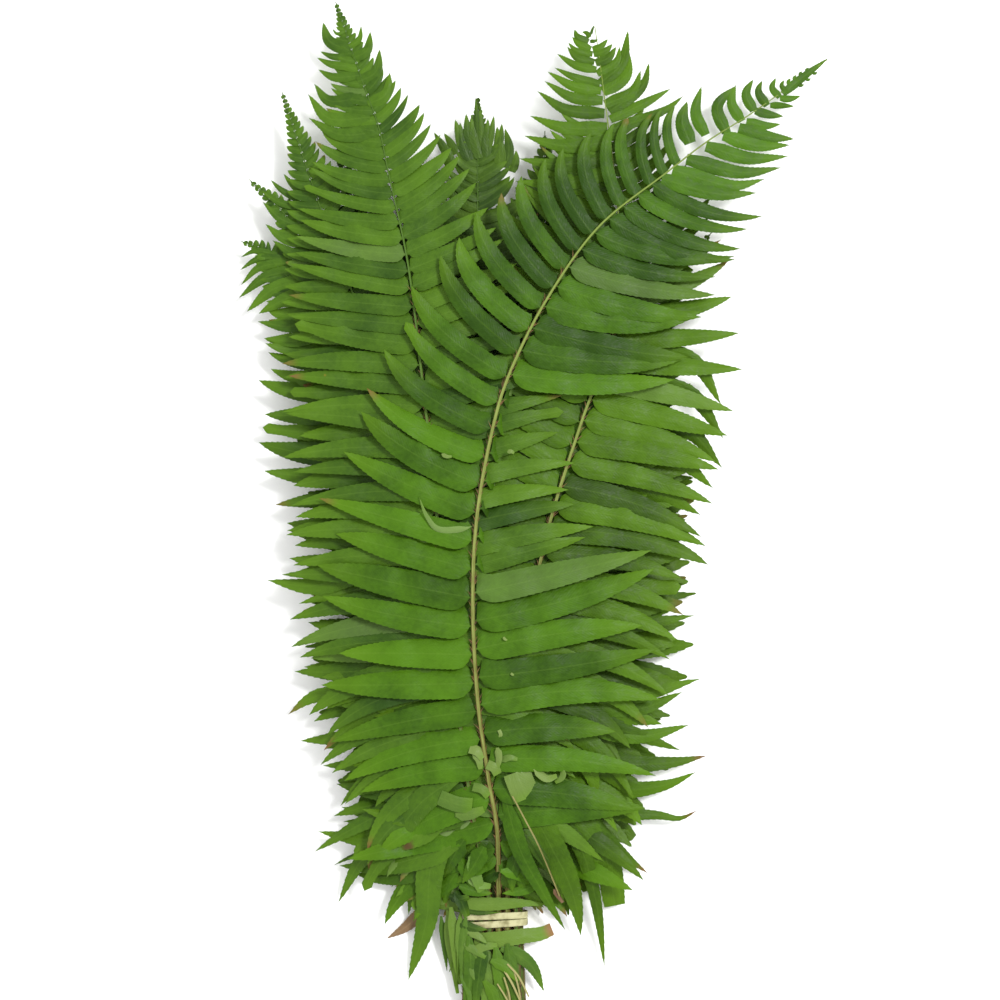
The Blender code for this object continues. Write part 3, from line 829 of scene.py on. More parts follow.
@dataclass
class FernFrond:
    """One frond: a grooved midrib with scales, and leaflets in two rows.

    Lengths are in millimetres, and pairs of numbers are for the left and the right side. Sheet,
    row, slot and route are the solid's.

    Attributes:
        name: The solid's node.
        sheet: Place in the stack of sheets, 0 at the bottom.
        row: Row of stalks under the tie, 0 at the bottom.
        slot: Place in that row, 0 at the left.
        route: Plan points of the axis above the tie.
        left: The longest leaflet on the left.
        right: The longest leaflet on the right.
        leaves_from: Where along the bunch the main leaflets start.
        leaf: The finish of the blades.
        detail: How finely the frond is drawn.
        slot_name: The record's name for its finish; not used.
        seed: Where its random numbers start.
        spacing: From leaflet to leaflet on the lower part.
        closing_from: The leafy share from which they stand closer.
        wildness: How much the leaflets differ.
        basal_to: How far down the bunch leaflets hang from the stalk.
        taper: The powers by which lengths fall.
        tip_length: The length that they fall to.
        slim: How much narrower leaflets are near the tip.
        recurve: By how many degrees more leaflets bend back.
        recurve_to: The leafy share where that ends.
        late_bend: How far the upper leaflets stay straight until near their tips.
        tucked: Stretches along the bunch where right leaflets go under the frond beside them.
        tuck_depth: How deep they go.
        extra: Free blades that belong to it.
        crest: Rows of the leaflets that are set one by one.
        bare_tip: How near the end leaflets are set out by rule; the crest has those beyond.
        deeper: How much darker the upper leaflets are.
        stalk: The finish of the midrib.
    """

    name: str
    sheet: float
    row: int
    slot: int
    route: tuple[tuple[float, float], ...]
    left: float
    right: float
    leaves_from: float
    leaf: str
    detail: Detail
    slot_name: str
    seed: int
    spacing: float = 18.0
    closing_from: float = 0.45
    wildness: float = 1.0
    basal_to: float = -205.0
    taper: tuple[float, float] = (1.9, 1.9)
    tip_length: float = 2.0
    slim: float = 0.10
    recurve: tuple[float, float] = (0.0, 0.0)
    recurve_to: float = 0.72
    late_bend: tuple[float, float] = (0.0, 0.0)
    tucked: tuple[tuple[float, float], ...] = ()
    tuck_depth: float = 12.6
    extra: tuple[FreeBlade, ...] = ()
    crest: tuple[tuple[float, ...], ...] = ()
    bare_tip: tuple[float, float] = (0.0, 0.0)
    deeper: float = 0.0
    stalk: str = "stalk_green"
    points: np.ndarray = field(init=False)
    run: np.ndarray = field(init=False)

    def __post_init__(self) -> None:
        """Lays the axis out from the cut end through the tie to the tip."""
        tie = TIE_X + STALK_PITCH * (self.slot - 0.5 * (ROW_SIZES[self.row] - 1))
        cut = TIE_X + (tie - TIE_X) * STALK_SPLAY
        cut_y = CUT_Y + CUT_STAGGER * (self.sheet % 3)
        head = [(cut, cut_y), (tie, TIE_Y - BAND_WIDTH), (tie, TIE_Y + BAND_WIDTH)]
        self.points = catmull_rom(np.array(head + list(self.route)))
        steps = np.hypot(*np.diff(self.points, axis=0).T)
        self.run = np.concatenate([[0.0], np.cumsum(steps)])

    def at(self, run: np.ndarray) -> np.ndarray:
        """Plan points at distances along the axis."""
        return np.stack([np.interp(run, self.run, self.points[:, part]) for part in (0, 1)],
                        axis=-1)

    def heading(self, run: np.ndarray) -> np.ndarray:
        """The axis's direction in radians."""
        step = self.at(np.minimum(run + 3.0, self.run[-1])) - self.at(np.maximum(run - 3.0, 0.0))
        return np.arctan2(step[..., 1], step[..., 0])

    def height_at(self, x: np.ndarray, y: np.ndarray) -> np.ndarray:
        """The frond's height: its row's at the tie, its own sheet's further up and to the sides.

        The gap between sheets shrinks with the square of the distance from the stack's middle, and
        the height eases from the row's to the sheet's above the tie.

        Args:
            x: Places across the bunch.
            y: Places along it.

        Returns:
            The heights there.
        """
        reach_y = np.where(y > STACK_CENTRE[1], STACK_REACH_UP, STACK_REACH_DOWN)
        rim = np.hypot((x - STACK_CENTRE[0]) / STACK_REACH_X, (y - STACK_CENTRE[1]) / reach_y)
        gap = np.maximum(SHEET_GAP - SHEET_CLOSING * rim**2, SHEET_GAP_LEAST)
        crown = CROWN * np.maximum(0.0, 1.0 - ((x - STACK_CENTRE[0]) / CROWN_REACH) ** 2)
        sheet = BLADE_HALF + crown + gap * self.sheet
        start = RAMP_TOP_START + RAMP_STEP * (TOP_SHEET - self.sheet)
        past = y + SIDE_RISE * np.maximum(0.0, np.abs(x - TIE_X) - STALKS_REACH)
        low = ROW_HEIGHTS[self.row]
        return low + (sheet - low) * smooth((past - start) / (RAMP_END - start))

    def half_sizes(self, run: np.ndarray) -> tuple[np.ndarray, np.ndarray]:
        """The midrib's half width and half height, the solid's at the cut and finer above.

        Args:
            run: Distances along the axis.

        Returns:
            The half widths and the half heights.
        """
        along = np.clip(run / self.run[-1], 0.0, 1.0)
        share = along**MIDRIB_TAPER_POWER
        finer = (1.0 - MIDRIB_FINER[0] * smooth(along / 0.3)
                 - MIDRIB_FINER[1] * smooth((along - 0.55) / 0.45))
        wide = (MIDRIB_LOW[0] + (MIDRIB_TIP[0] - MIDRIB_LOW[0]) * share) * finer
        tall = MIDRIB_LOW[1] + (MIDRIB_TIP[1] - MIDRIB_LOW[1]) * share
        return wide, tall

    def axis_height(self, run: np.ndarray) -> np.ndarray:
        """Height of the midrib's middle, never so low that it would sink into the floor."""
        at = self.at(run)
        return np.maximum(self.height_at(at[..., 0], at[..., 1]), self.half_sizes(run)[1])

    def midrib(self, rings: int, sides: int) -> MeshData:
        """Sweeps a grooved oval along the axis: a circle's points, flattened, its top pressed in.

        Args:
            rings: Steps along the axis.
            sides: Points round it.

        Returns:
            The closed midrib, brown along both edges where it is old.
        """
        run = np.linspace(0.0, self.run[-1], rings)
        at, heading = self.at(run), self.heading(run)
        wide, tall = self.half_sizes(run)
        angle = 2.0 * np.pi * np.arange(sides) / sides
        across, up = np.cos(angle), np.sin(angle)
        pressed = 1.0 - MIDRIB_GROOVE * np.exp(-((across / MIDRIB_GROOVE_REACH) ** 2))
        up = np.where(up > 0.0, up * pressed, up)
        right = np.stack([np.sin(heading), -np.cos(heading)], axis=-1)
        plan = at[:, None, :] + right[:, None, :] * (across[None, :] * wide[:, None])[..., None]
        z = self.axis_height(run)[:, None] + up[None, :] * tall[:, None]
        points = np.concatenate([plan, z[..., None]], axis=-1).reshape(-1, 3)
        ends = np.stack([np.append(at[place], self.axis_height(run)[place]) for place in (0, -1)])
        grid = np.arange(rings * sides).reshape(rings, sides)
        turned = np.roll(grid, -1, axis=1)
        quads = np.stack([grid[:-1], grid[1:], turned[1:], turned[:-1]], axis=-1).reshape(-1, 4)
        start, end = rings * sides, rings * sides + 1
        caps = np.concatenate([
            np.stack([grid[0], turned[0], np.full(sides, start)], axis=-1),
            np.stack([turned[-1], grid[-1], np.full(sides, end)], axis=-1),
        ])
        map_x = np.append(np.repeat(run, sides), run[[0, -1]]) / MAP_MM
        map_y = np.append(np.tile(angle, rings), [0.0, 0.0]) / MAP_MM
        edge = np.abs(np.tile(across, rings))
        old = 0.95 - 0.95 * smooth((run / run[-1] - 0.18) / 0.36)
        brown = np.append(smooth((edge - 0.45) / 0.4) * np.repeat(old, sides), [0.3, 0.3])
        tone = np.append(np.repeat(0.25 + 0.6 * smooth(run / run[-1]), sides), [1.0, 0.6])
        dress = dress_rows(len(map_x), tone, 0.0, brown)
        dress[:, 3] = map_x * MAP_MM / self.run[-1]
        everything = np.vstack([points, ends])
        return MeshData(everything, quads, caps, np.stack([map_x, map_y], axis=1), dress, 1)

    def scales(self, count: int, random: np.random.Generator) -> MeshData:
        """Papery scales along both flanks of the midrib, each a slim closed wedge of four faces.

        Args:
            count: How many.
            random: The frond's own random numbers.

        Returns:
            All the scales.
        """
        run = self.run[-1] * 0.72 * random.random(count) ** 1.25
        side = random.choice([-1.0, 1.0], count)
        wide, tall = self.half_sizes(run)
        at, heading = self.at(run), self.heading(run)
        way = np.stack([np.cos(heading), np.sin(heading)], axis=-1)
        right = np.stack([way[:, 1], -way[:, 0]], axis=-1) * side[:, None]
        rise = random.uniform(-0.1, 0.75, count)
        root = at + right * (wide * np.sqrt(np.maximum(1.0 - rise**2, 0.0)) * 0.93)[:, None]
        z = self.axis_height(run) + rise * tall
        length = random.uniform(1.6, 4.2, count)
        splay = random.uniform(0.15, 0.8, count)
        tip = root + (way + right * splay[:, None]) * length[:, None]
        tip_z = z + random.uniform(0.0, 0.9, count)
        half = way * SCALE_HALF
        corners = np.stack([
            np.column_stack([root - half, z]), np.column_stack([root + half, z]),
            np.column_stack([root + 0.25 * half, z + 0.28]), np.column_stack([tip, tip_z]),
        ], axis=1)
        faces = np.array([[0, 2, 1], [0, 1, 3], [1, 2, 3], [2, 0, 3]])
        tris = faces[None] + (4 * np.arange(count))[:, None, None]
        tris[side < 0] = tris[side < 0][..., ::-1]
        points = corners.reshape(-1, 3)
        dress = dress_rows(len(points), np.repeat(random.random(count), 4))
        no_quads = np.empty((0, 4), dtype=int)
        return MeshData(points, no_quads, tris.reshape(-1, 3), np.zeros((len(points), 2)), dress, 2)

    def leaf_places(self) -> tuple[np.ndarray, np.ndarray]:
        """Where leaflets sit: full spacing on the lower half, closing up towards the tip.

        Returns:
            The distances along the axis and the leafy share of each.
        """
        first = self.run[np.argmax(self.points[:, 1] >= self.leaves_from)]
        last = self.run[-1] - 1.5
        share = np.linspace(0.0, 1.0, 800)
        closing = np.clip((share - self.closing_from) / (1.0 - self.closing_from), 0.0, 1.0)
        space = self.spacing * (1.0 - 0.80 * closing**1.5)
        count = np.concatenate([[0.0], np.cumsum(np.diff(share) * (last - first) / space[:-1])])
        places = np.interp(np.arange(math.floor(count[-1]) + 1), count, share)
        return first + (last - first) * places, places

    def main_pinnae(self, random: np.random.Generator) -> Pinnae:
        """Sets out both rows of leaflets with the small differences of grown ones.

        Lengths fall as 1 - t^p from a quarter of the leafy part to its end, with the frond's own
        power for each side, and half widths follow the spacing.

        Args:
            random: The frond's own random numbers.

        Returns:
            The leaflets of both rows.
        """
        groups = []
        for number, side, full in ((0, -1.0, self.left), (1, 1.0, self.right)):
            run, share = self.leaf_places()
            keep = self.run[-1] - run >= self.bare_tip[number]
            run, share = run[keep], share[keep]
            # The two rows alternate
            run = run + side * STAGGER * self.spacing * (1.0 - share)
            taper = np.clip((share - LONGEST_AT) / (1.0 - LONGEST_AT), 0.0, 1.0)
            fallen = 1.0 - taper ** self.taper[number]
            length = np.where(share < LONGEST_AT, full * (0.85 + 0.6 * share),
                              self.tip_length + (full - self.tip_length) * fallen)
            near_tip = np.clip((self.run[-1] - run) / SHORTER_WITHIN, 0.0, 1.0)
            length = np.maximum(length * (0.30 + 0.70 * near_tip**0.6), 1.4)
            lowest, middle, topmost = ROOT_ANGLES
            root = (middle + (lowest - middle) * (1.0 - smooth(share / 0.35))
                    - (middle - topmost) * smooth((share - 0.5) / 0.5))
            lowest, middle, topmost = TIP_ANGLES
            tip = (middle + (lowest - middle) * (1.0 - smooth(share / 0.30))
                   - (middle - topmost) * smooth((share - 0.35) / 0.5))
            held = smooth(share / 0.12) * smooth((self.recurve_to + 0.15 - share) / 0.3)
            late = self.late_bend[number] * smooth((share - 0.30) / 0.20)
            tip = tip + self.recurve[number] * held - LATE_BEND_ANGLE * late
            # Half a leaflet's width as a share of the spacing
            part = 0.53 - 0.11 * late - self.slim * smooth((share - 0.55) / 0.35)
            count = len(run)
            base = self.at(run)
            tuck = np.zeros(count)
            for low, high in self.tucked if side > 0 else ():
                tuck[(base[:, 1] > low) & (base[:, 1] < high)] = self.tuck_depth
            # The lowest leaflets lie less evenly than the others
            wild = self.wildness * (1.35 - share) + 1.6 * (1.0 - smooth(share / 0.22))
            calm = np.minimum(wild, 1.4)
            jitter = random.normal(0.0, 1.0, (count, 8))
            half = np.clip(part * np.gradient(run), 0.9, 9.6)
            groups.append(Pinnae(
                base=base, height=self.axis_height(run), heading=self.heading(run),
                side=np.full(count, side),
                root=root + ROOT_SPREAD * wild * jitter[:, 0],
                tip=tip + TIP_SPREAD * wild * jitter[:, 1],
                length=length * (1.0 + LENGTH_SPREAD * wild * jitter[:, 2]),
                half=half * (1.0 + WIDTH_SPREAD * jitter[:, 3]),
                tilt=TILT + TILT_SPREAD * calm * jitter[:, 4],
                twist=TWIST_SPREAD * calm * jitter[:, 5],
                arch=ARCH_SPREAD * calm * jitter[:, 6],
                droop=DROOP_SPREAD * calm * jitter[:, 7] - DROOP,
                tone=np.clip(0.5 + 0.15 * random.normal(0.0, 1.0, count)
                             - self.deeper * smooth((share - 0.4) / 0.25), 0.0, 1.0),
                dry=(random.random(count) < DRY_SHARE) * random.uniform(0.5, 1.0, count),
                blunt=(random.random(count) < BROKEN_SHARE).astype(float),
                phase=random.uniform(0.0, 6.3, count),
                bend=1.3 + 0.8 * late + 0.15 * jitter[:, 3], tuck=tuck,
                under=0.3 * (random.random(count) < TURNED_SHARE),
            ))
        return Pinnae.joined(groups)

    def basal_pinnae(self, random: np.random.Generator) -> Pinnae:
        """The short leaflets below the main ones, bent back towards the stalks' cut ends.

        Args:
            random: The frond's own random numbers.

        Returns:
            The leaflets of both sides.
        """
        first = self.run[np.argmax(self.points[:, 1] >= self.leaves_from)]
        last = self.run[np.argmax(self.points[:, 1] >= self.basal_to)]
        groups = []
        for side in (-1.0, 1.0):
            run = np.arange(first - 9.0 - 2.0 * side, last, -BASAL_PITCH)
            down = (first - run) / max(first - last, 1.0)
            count = len(run)
            jitter = random.normal(0.0, 1.0, (count, 6))
            groups.append(Pinnae(
                base=self.at(run), height=self.axis_height(run), heading=self.heading(run),
                side=np.full(count, side),
                root=100.0 + 14.0 * down + 7.0 * jitter[:, 0],
                tip=138.0 + 12.0 * down + 10.0 * jitter[:, 1],
                length=(66.0 - 26.0 * down) * (1.0 + 0.08 * jitter[:, 2]),
                half=6.6 - 1.4 * down, tilt=8.0 + 7.0 * jitter[:, 3],
                twist=10.0 * jitter[:, 4], arch=1.0 + 0.8 * jitter[:, 5],
                droop=np.full(count, 0.8),
                tone=np.clip(0.5 + 0.3 * random.normal(0.0, 1.0, count), 0.0, 1.0),
                dry=(random.random(count) < BASAL_DRY) * random.uniform(0.4, 1.0, count),
                blunt=(random.random(count) < BASAL_BROKEN).astype(float),
                phase=random.uniform(0.0, 6.3, count),
                bend=np.full(count, 1.2), tuck=np.zeros(count),
                under=0.8 * (random.random(count) < BASAL_TURNED),
            ))
        return Pinnae.joined(groups)

    def build(self, finishes: dict[str, bpy.types.Material]) -> bpy.types.Object:
        """Makes the frond as one object and reports it to the frame.

        Args:
            finishes: All finishes by name.

        Returns:
            The finished object.
        """
        random = np.random.default_rng(self.seed)
        weave = self.detail.value
        leaflets = Pinnae.joined([self.main_pinnae(random), self.basal_pinnae(random)])
        leaves = leaflets.blades(weave.columns, self.height_at).loft(weave)
        parts = [self.midrib(weave.rings, weave.sides)]
        if self.detail is Detail.SHOWN:
            parts.append(self.scales(SCALES_PER_FROND, random))
        fine = Detail.SHOWN.value
        if self.extra:
            parts.append(free_blades(list(self.extra), fine.columns).loft(fine))
        if self.crest:
            leaves_laid = free_blades(laid_leaves(self.crest), CREST_COLUMNS, self.height_at)
            parts.append(leaves_laid.loft(fine))
        made = leaves.to_object(self.name + "_leaf", parts,
                                [finishes[self.leaf], finishes[self.stalk], finishes["scale"]])
        report(made, self.name)
        return made


def report(made: bpy.types.Object, node: str | None = None) -> None:
    """Tells the frame what a piece rides on and hides the solid that it stands for.

    Args:
        made: The finished piece.
        node: The solid that it replaces, if any.
    """
    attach(made, "root")
    if node:
        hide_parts(node)
    LOG.info("%s: %d faces", made.name, len(made.data.polygons))


@dataclass
class TieBand:
    """The elastic band, wound twice: two flat strands that draw together towards the right."""

    turns: int = 84
    section: int = 10
    half_width: float = 2.1
    roundness: float = 0.92
    strands: tuple[tuple[float, float], ...] = ((1.3, 0.03), (-3.6, 0.065))

    def strand(self, offset: float, slope: float) -> MeshData:
        """Sweeps a rounded flat section round the squared oval of the stalks.

        The oval is |x|^4 + |z|^4 = 1, stretched to the band's half span and half rise; y follows
        the offset plus the slope times x.

        Args:
            offset: How far along the stalks the strand lies from the tie's middle.
            slope: How much further it lies with each step to the right.

        Returns:
            The closed ring.
        """
        angle = 2.0 * np.pi * (np.arange(self.turns) + 0.5) / self.turns - 0.5 * np.pi
        wide, tall = (np.sign(part) * np.abs(part) ** (2.0 / BAND_SQUARENESS)
                      for part in (np.cos(angle), np.sin(angle)))
        section = 2.0 * np.pi * np.arange(self.section) / self.section
        flat, thick = (np.sign(part) * np.abs(part) ** 0.5
                       for part in (np.cos(section), np.sin(section)))
        out = 0.5 * BAND_THICKNESS * (1.0 + self.roundness * thick)
        x = (BAND_HALF_SPAN + out[None, :]) * wide[:, None]
        level = (BAND_HALF_RISE + out[None, :]) * tall[:, None] / np.abs(tall[0])
        z = np.maximum(BAND_THICKNESS + BAND_HALF_RISE + level, LEAST_KEEL)
        y = TIE_Y + offset + slope * x + self.half_width * flat[None, :]
        points = np.stack([TIE_X + x, y, z], axis=-1).reshape(-1, 3)
        grid = np.arange(len(points)).reshape(self.turns, self.section)
        around, across = np.roll(grid, -1, axis=0), np.roll(grid, -1, axis=1)
        both = np.roll(around, -1, axis=1)
        quads = np.stack([grid, around, both, across], axis=-1).reshape(-1, 4)
        return MeshData(points, quads, np.empty((0, 3), dtype=int), np.zeros((len(points), 2)),
                        dress_rows(len(points)))

    def build(self, finishes: dict[str, bpy.types.Material]) -> None:
        """Makes both strands as one object."""
        first, second = (self.strand(*strand) for strand in self.strands)
        report(first.to_object("elastic_band", [second], [finishes["band"]]), "tie_band")


@dataclass
class LoosePieces:
    """Blades that lie loose on the bunch, made as one object."""

    name: str
    blades: list[FreeBlade]
    finish: str
    node: str | None = None
    lies_on: FernFrond | None = None
    columns: int = 28

    def build(self, finishes: dict[str, bpy.types.Material]) -> None:
        """Draws the blades and reports them; on a frond, heights count from that frond's sheet.

        Args:
            finishes: All finishes by name.
        """
        sheet = self.lies_on.height_at if self.lies_on else None
        made = free_blades(self.blades, self.columns, sheet).loft(Detail.SHOWN.value)
        report(made.to_object(self.name, [], [finishes[self.finish]]), self.node)


# Leaflets that hang down over the stalks and lie across the bunch, in millimetres
FRONT_EXTRA = (
    FreeBlade(((-18.0, -156.0, 40.0), (-9.0, -188.0, 36.0), (3.5, -213.0, 26.0),
               (19.0, -240.5, 12.0)), 5.6, side=-1.0, tilt=12.0, tone=0.4),
    FreeBlade(((-36.0, 4.0, 52.0), (-43.0, 2.0, 52.6), (-57.0, 2.0, 52.0), (-64.0, 10.0, 51.4),
               (-68.5, 21.0, 51.0)), 2.3, Outline.SPINDLE, tone=0.9, under=1.0, tilt=30.0),
)
RIGHT_FRONT_EXTRA = (
    FreeBlade(((-8.0, -152.0, 37.0), (6.0, -180.0, 35.0), (20.0, -208.0, 28.0),
               (26.0, -228.0, 17.0), (28.5, -244.5, 8.0)), 9.4, side=-1.0, tilt=10.0, tone=0.5),
    FreeBlade(((-12.0, -158.0, 36.0), (2.0, -170.0, 36.0), (22.0, -182.0, 33.0),
               (42.0, -198.0, 22.0)), 6.4, side=-1.0, tilt=8.0, tone=0.65, under=0.15),
    FreeBlade(((-10.0, -176.0, 35.0), (4.0, -190.0, 33.0), (14.0, -206.0, 27.0),
               (18.0, -222.0, 19.0)), 6.0, tilt=9.0, tone=0.3),
)
RIGHT_LOW_EXTRA = (
    FreeBlade(((4.0, -160.0, 31.0), (26.0, -186.0, 28.0), (34.0, -208.0, 21.0),
               (39.0, -232.0, 12.0), (43.0, -264.0, 3.0)), 4.9, tone=0.4, tilt=-8.0),
    FreeBlade(((10.0, -158.0, 30.0), (32.0, -180.0, 27.0), (44.0, -198.0, 20.0),
               (49.0, -226.0, 9.0)), 8.6, Outline.CUT, tone=0.6),
    FreeBlade(((16.0, -150.0, 29.0), (38.0, -178.0, 25.0), (56.0, -196.0, 15.0),
               (69.0, -206.5, 8.0)), 5.6, Outline.LANCE, tone=0.45, dry=1.0),
)
RIGHT_OUTER_EXTRA = (
    FreeBlade(((12.0, -160.0, 16.0), (44.0, -169.0, 15.0), (74.0, -171.0, 12.0),
               (88.0, -173.0, 11.0), (99.0, -168.0, 12.0)), 4.4, tone=0.5, dry=1.0),
    FreeBlade(((10.0, -146.0, 17.0), (50.0, -155.0, 17.0), (78.0, -153.0, 14.0),
               (98.0, -145.0, 12.0)), 6.4, tone=0.7, side=-1.0),
    FreeBlade(((18.0, -128.0, 20.0), (54.0, -139.0, 19.0), (82.0, -139.0, 16.0),
               (104.5, -135.0, 14.0)), 6.2, tone=0.4, dry=1.0),
    FreeBlade(((12.0, -168.0, 14.0), (36.0, -180.0, 13.0), (60.0, -180.5, 10.0)), 4.0, tone=0.3),
)
LEFT_FRONT_EXTRA = (
    FreeBlade(((-44.0, -145.0, 41.0), (-66.0, -160.0, 38.0), (-86.0, -184.0, 26.0),
               (-104.0, -198.0, 16.0), (-118.5, -225.0, 4.0)), 7.6, side=-1.0, tone=0.5),
)
LEFT_HIGH_EXTRA = (
    FreeBlade(((-60.0, -28.0, 40.0), (-96.0, -20.0, 38.0), (-130.0, -32.0, 31.0),
               (-160.0, -29.0, 26.0)), 9.4, side=-1.0, tone=0.6),
    FreeBlade(((-54.0, -78.0, 38.0), (-88.0, -82.0, 35.0), (-120.0, -84.0, 26.0),
               (-144.0, -84.0, 19.0)), 9.6, side=-1.0, tone=0.4),
    FreeBlade(((-52.0, -94.0, 37.0), (-90.0, -100.0, 34.0), (-124.0, -98.0, 24.0),
               (-136.0, -101.0, 19.0), (-148.0, -110.0, 15.0)), 8.6, side=-1.0, tone=0.9, dry=0.6),
    FreeBlade(((-50.0, -112.0, 37.0), (-84.0, -121.0, 33.0), (-116.0, -124.0, 24.0),
               (-141.0, -126.0, 15.0)), 8.2, side=-1.0, tone=0.7),
    FreeBlade(((-48.0, -130.0, 36.0), (-80.0, -138.0, 32.0), (-108.0, -140.0, 22.0),
               (-127.0, -141.0, 14.0)), 8.0, side=-1.0, tone=0.5),
    FreeBlade(((-50.0, -172.0, 33.0), (-78.0, -184.0, 29.0), (-104.0, -185.0, 19.0),
               (-130.5, -181.0, 10.0)), 7.0, side=-1.0, tone=0.75),
    FreeBlade(((-44.0, -186.0, 32.0), (-72.0, -196.0, 25.0), (-96.0, -202.0, 15.0),
               (-117.5, -202.0, 7.0)), 8.0, side=-1.0, tone=0.6),
    FreeBlade(((-50.0, -150.0, 34.0), (-76.0, -154.0, 31.0), (-100.0, -155.0, 22.0),
               (-119.0, -152.0, 14.0)), 8.4, side=-1.0, tone=0.35),
    FreeBlade(((-52.0, -160.0, 33.0), (-76.0, -168.0, 29.0), (-98.0, -170.0, 20.0),
               (-116.0, -166.0, 13.0)), 7.0, side=-1.0, tone=0.55),
    FreeBlade(((-56.0, -196.0, 24.0), (-76.0, -206.0, 17.0), (-94.0, -209.0, 10.0),
               (-108.0, -207.0, 5.0)), 6.4, side=-1.0, tone=0.4),
)
LEFT_WIDE_EXTRA = (
    FreeBlade(((-44.0, -178.0, 30.0), (-58.0, -190.0, 29.0), (-63.0, -208.0, 23.0),
               (-65.0, -236.0, 13.0), (-76.0, -272.0, 2.0)), 8.6, side=-1.0, tone=0.65),
    FreeBlade(((-42.0, -190.0, 24.0), (-62.0, -200.0, 18.0), (-72.0, -214.0, 11.0),
               (-76.0, -232.0, 5.0)), 5.0, side=-1.0, tone=0.7),
)
LEFT_OUTER_EXTRA = (
    FreeBlade(((-50.0, -188.0, 12.0), (-86.0, -192.0, 10.0), (-108.0, -196.0, 7.0),
               (-121.0, -202.0, 3.0)), 3.6, side=-1.0, tone=0.1),
    FreeBlade(((-58.0, -168.0, 20.0), (-88.0, -174.0, 16.0), (-115.0, -175.0, 9.0)), 5.0,
              side=-1.0, tone=0.4),
)
# Leaves set one by one: root, middle and tip in plan, and half width
FRONT_CREST = (
    (93.6, 232.8, 88.8, 246.0, 91.8, 258.3, 4.4),
    (102.9, 237.9, 96.9, 251.4, 100.5, 267.6, 3.4),
    (115.5, 239.4, 110.1, 255.3, 121.8, 268.5, 3.5),
    (124.8, 246.6, 118.8, 257.4, 121.2, 268.8, 3.1),
    (132.3, 253.2, 127.6, 263.2, 132.0, 272.4, 3.0),
    (140.4, 256.5, 135.2, 264.6, 137.4, 271.8, 2.6),
    (148.2, 261.9, 143.6, 267.3, 145.8, 273.6, 2.1),
    (152.4, 265.2, 149.4, 268.8, 150.9, 272.4, 1.6),
    (155.4, 268.8, 153.6, 271.2, 154.8, 273.6, 1.4),
    (159.0, 271.5, 157.2, 273.6, 158.4, 275.7, 1.3),
    (162.6, 274.2, 160.8, 276.3, 162.0, 278.1, 1.2),
    (166.2, 276.6, 164.7, 278.7, 166.2, 280.5, 1.1),
    (150.0, 264.0, 164.4, 276.0, 178.2, 286.5, 2.4),
    (159.6, 271.2, 160.8, 269.4, 163.2, 270.0, 1.2),
    (163.8, 274.2, 165.6, 273.0, 167.4, 273.9, 1.0),
    (168.0, 277.8, 169.8, 276.9, 171.6, 278.1, 0.9),
    (148.2, 261.2, 154.2, 261.0, 160.8, 262.9, 2.0),
    (142.2, 256.8, 149.4, 256.8, 156.9, 256.5, 1.9),
    (132.9, 253.2, 141.6, 251.1, 150.3, 250.2, 2.6),
    (127.6, 246.6, 138.9, 244.3, 148.5, 245.4, 2.7),
    (123.0, 242.7, 140.4, 237.7, 156.9, 236.5, 3.8),
    (113.4, 237.9, 133.8, 232.2, 154.2, 232.8, 3.9),
    (102.9, 231.2, 128.4, 224.4, 153.0, 225.9, 4.1),
    (91.2, 223.2, 123.0, 215.7, 148.8, 219.0, 4.2),
    (82.8, 216.6, 116.4, 207.6, 138.6, 211.8, 4.3),
    (76.2, 211.2, 109.2, 202.5, 133.6, 203.4, 4.6),
)
RIGHT_FRONT_CREST = (
    (34.2, 298.8, 35.1, 301.8, 36.3, 304.5, 0.8),
    (33.6, 297.0, 31.8, 299.4, 28.8, 300.3, 1.4),
    (32.7, 294.0, 26.4, 297.0, 24.3, 301.8, 2.4),
    (34.2, 289.8, 27.3, 292.5, 22.8, 297.3, 2.2),
    (35.2, 286.8, 25.8, 288.6, 20.4, 293.7, 2.1),
    (36.3, 282.0, 25.8, 284.4, 19.8, 291.4, 2.3),
    (37.4, 277.2, 24.9, 279.9, 13.8, 286.8, 2.5),
    (39.6, 268.5, 24.9, 272.3, 12.3, 278.3, 2.5),
    (40.2, 264.6, 23.8, 267.0, 8.0, 275.9, 3.1),
    (41.2, 258.6, 22.7, 260.4, 6.3, 270.1, 3.3),
    (42.3, 250.8, 19.4, 252.9, 1.8, 264.1, 3.6),
    (43.8, 242.1, 18.6, 241.8, -2.4, 249.0, 4.1),
    (44.4, 233.4, 17.4, 231.0, -6.0, 237.0, 4.2),
    (44.8, 224.4, 15.6, 219.6, -9.0, 223.2, 4.4),
    (45.2, 214.8, 14.4, 208.2, -11.4, 209.4, 4.4),
    (33.6, 294.6, 36.0, 294.6, 38.4, 295.8, 1.1),
    (35.1, 289.8, 39.6, 291.0, 44.4, 296.0, 2.0),
    (35.7, 286.8, 42.6, 288.6, 47.2, 293.1, 2.4),
    (36.9, 281.4, 44.4, 284.4, 49.4, 291.4, 2.7),
    (37.8, 274.8, 49.2, 282.0, 51.6, 291.6, 2.6),
    (39.6, 268.8, 52.8, 282.0, 56.7, 301.8, 3.3),
    (41.2, 264.0, 54.6, 273.6, 57.6, 287.4, 4.0),
    (42.6, 256.2, 58.8, 264.0, 64.2, 277.2, 3.4),
    (45.0, 252.0, 64.2, 266.4, 69.4, 282.3, 3.3),
    (45.6, 247.2, 66.6, 257.4, 82.2, 266.3, 3.1),
    (46.8, 241.2, 76.2, 252.0, 89.8, 261.9, 3.2),
)
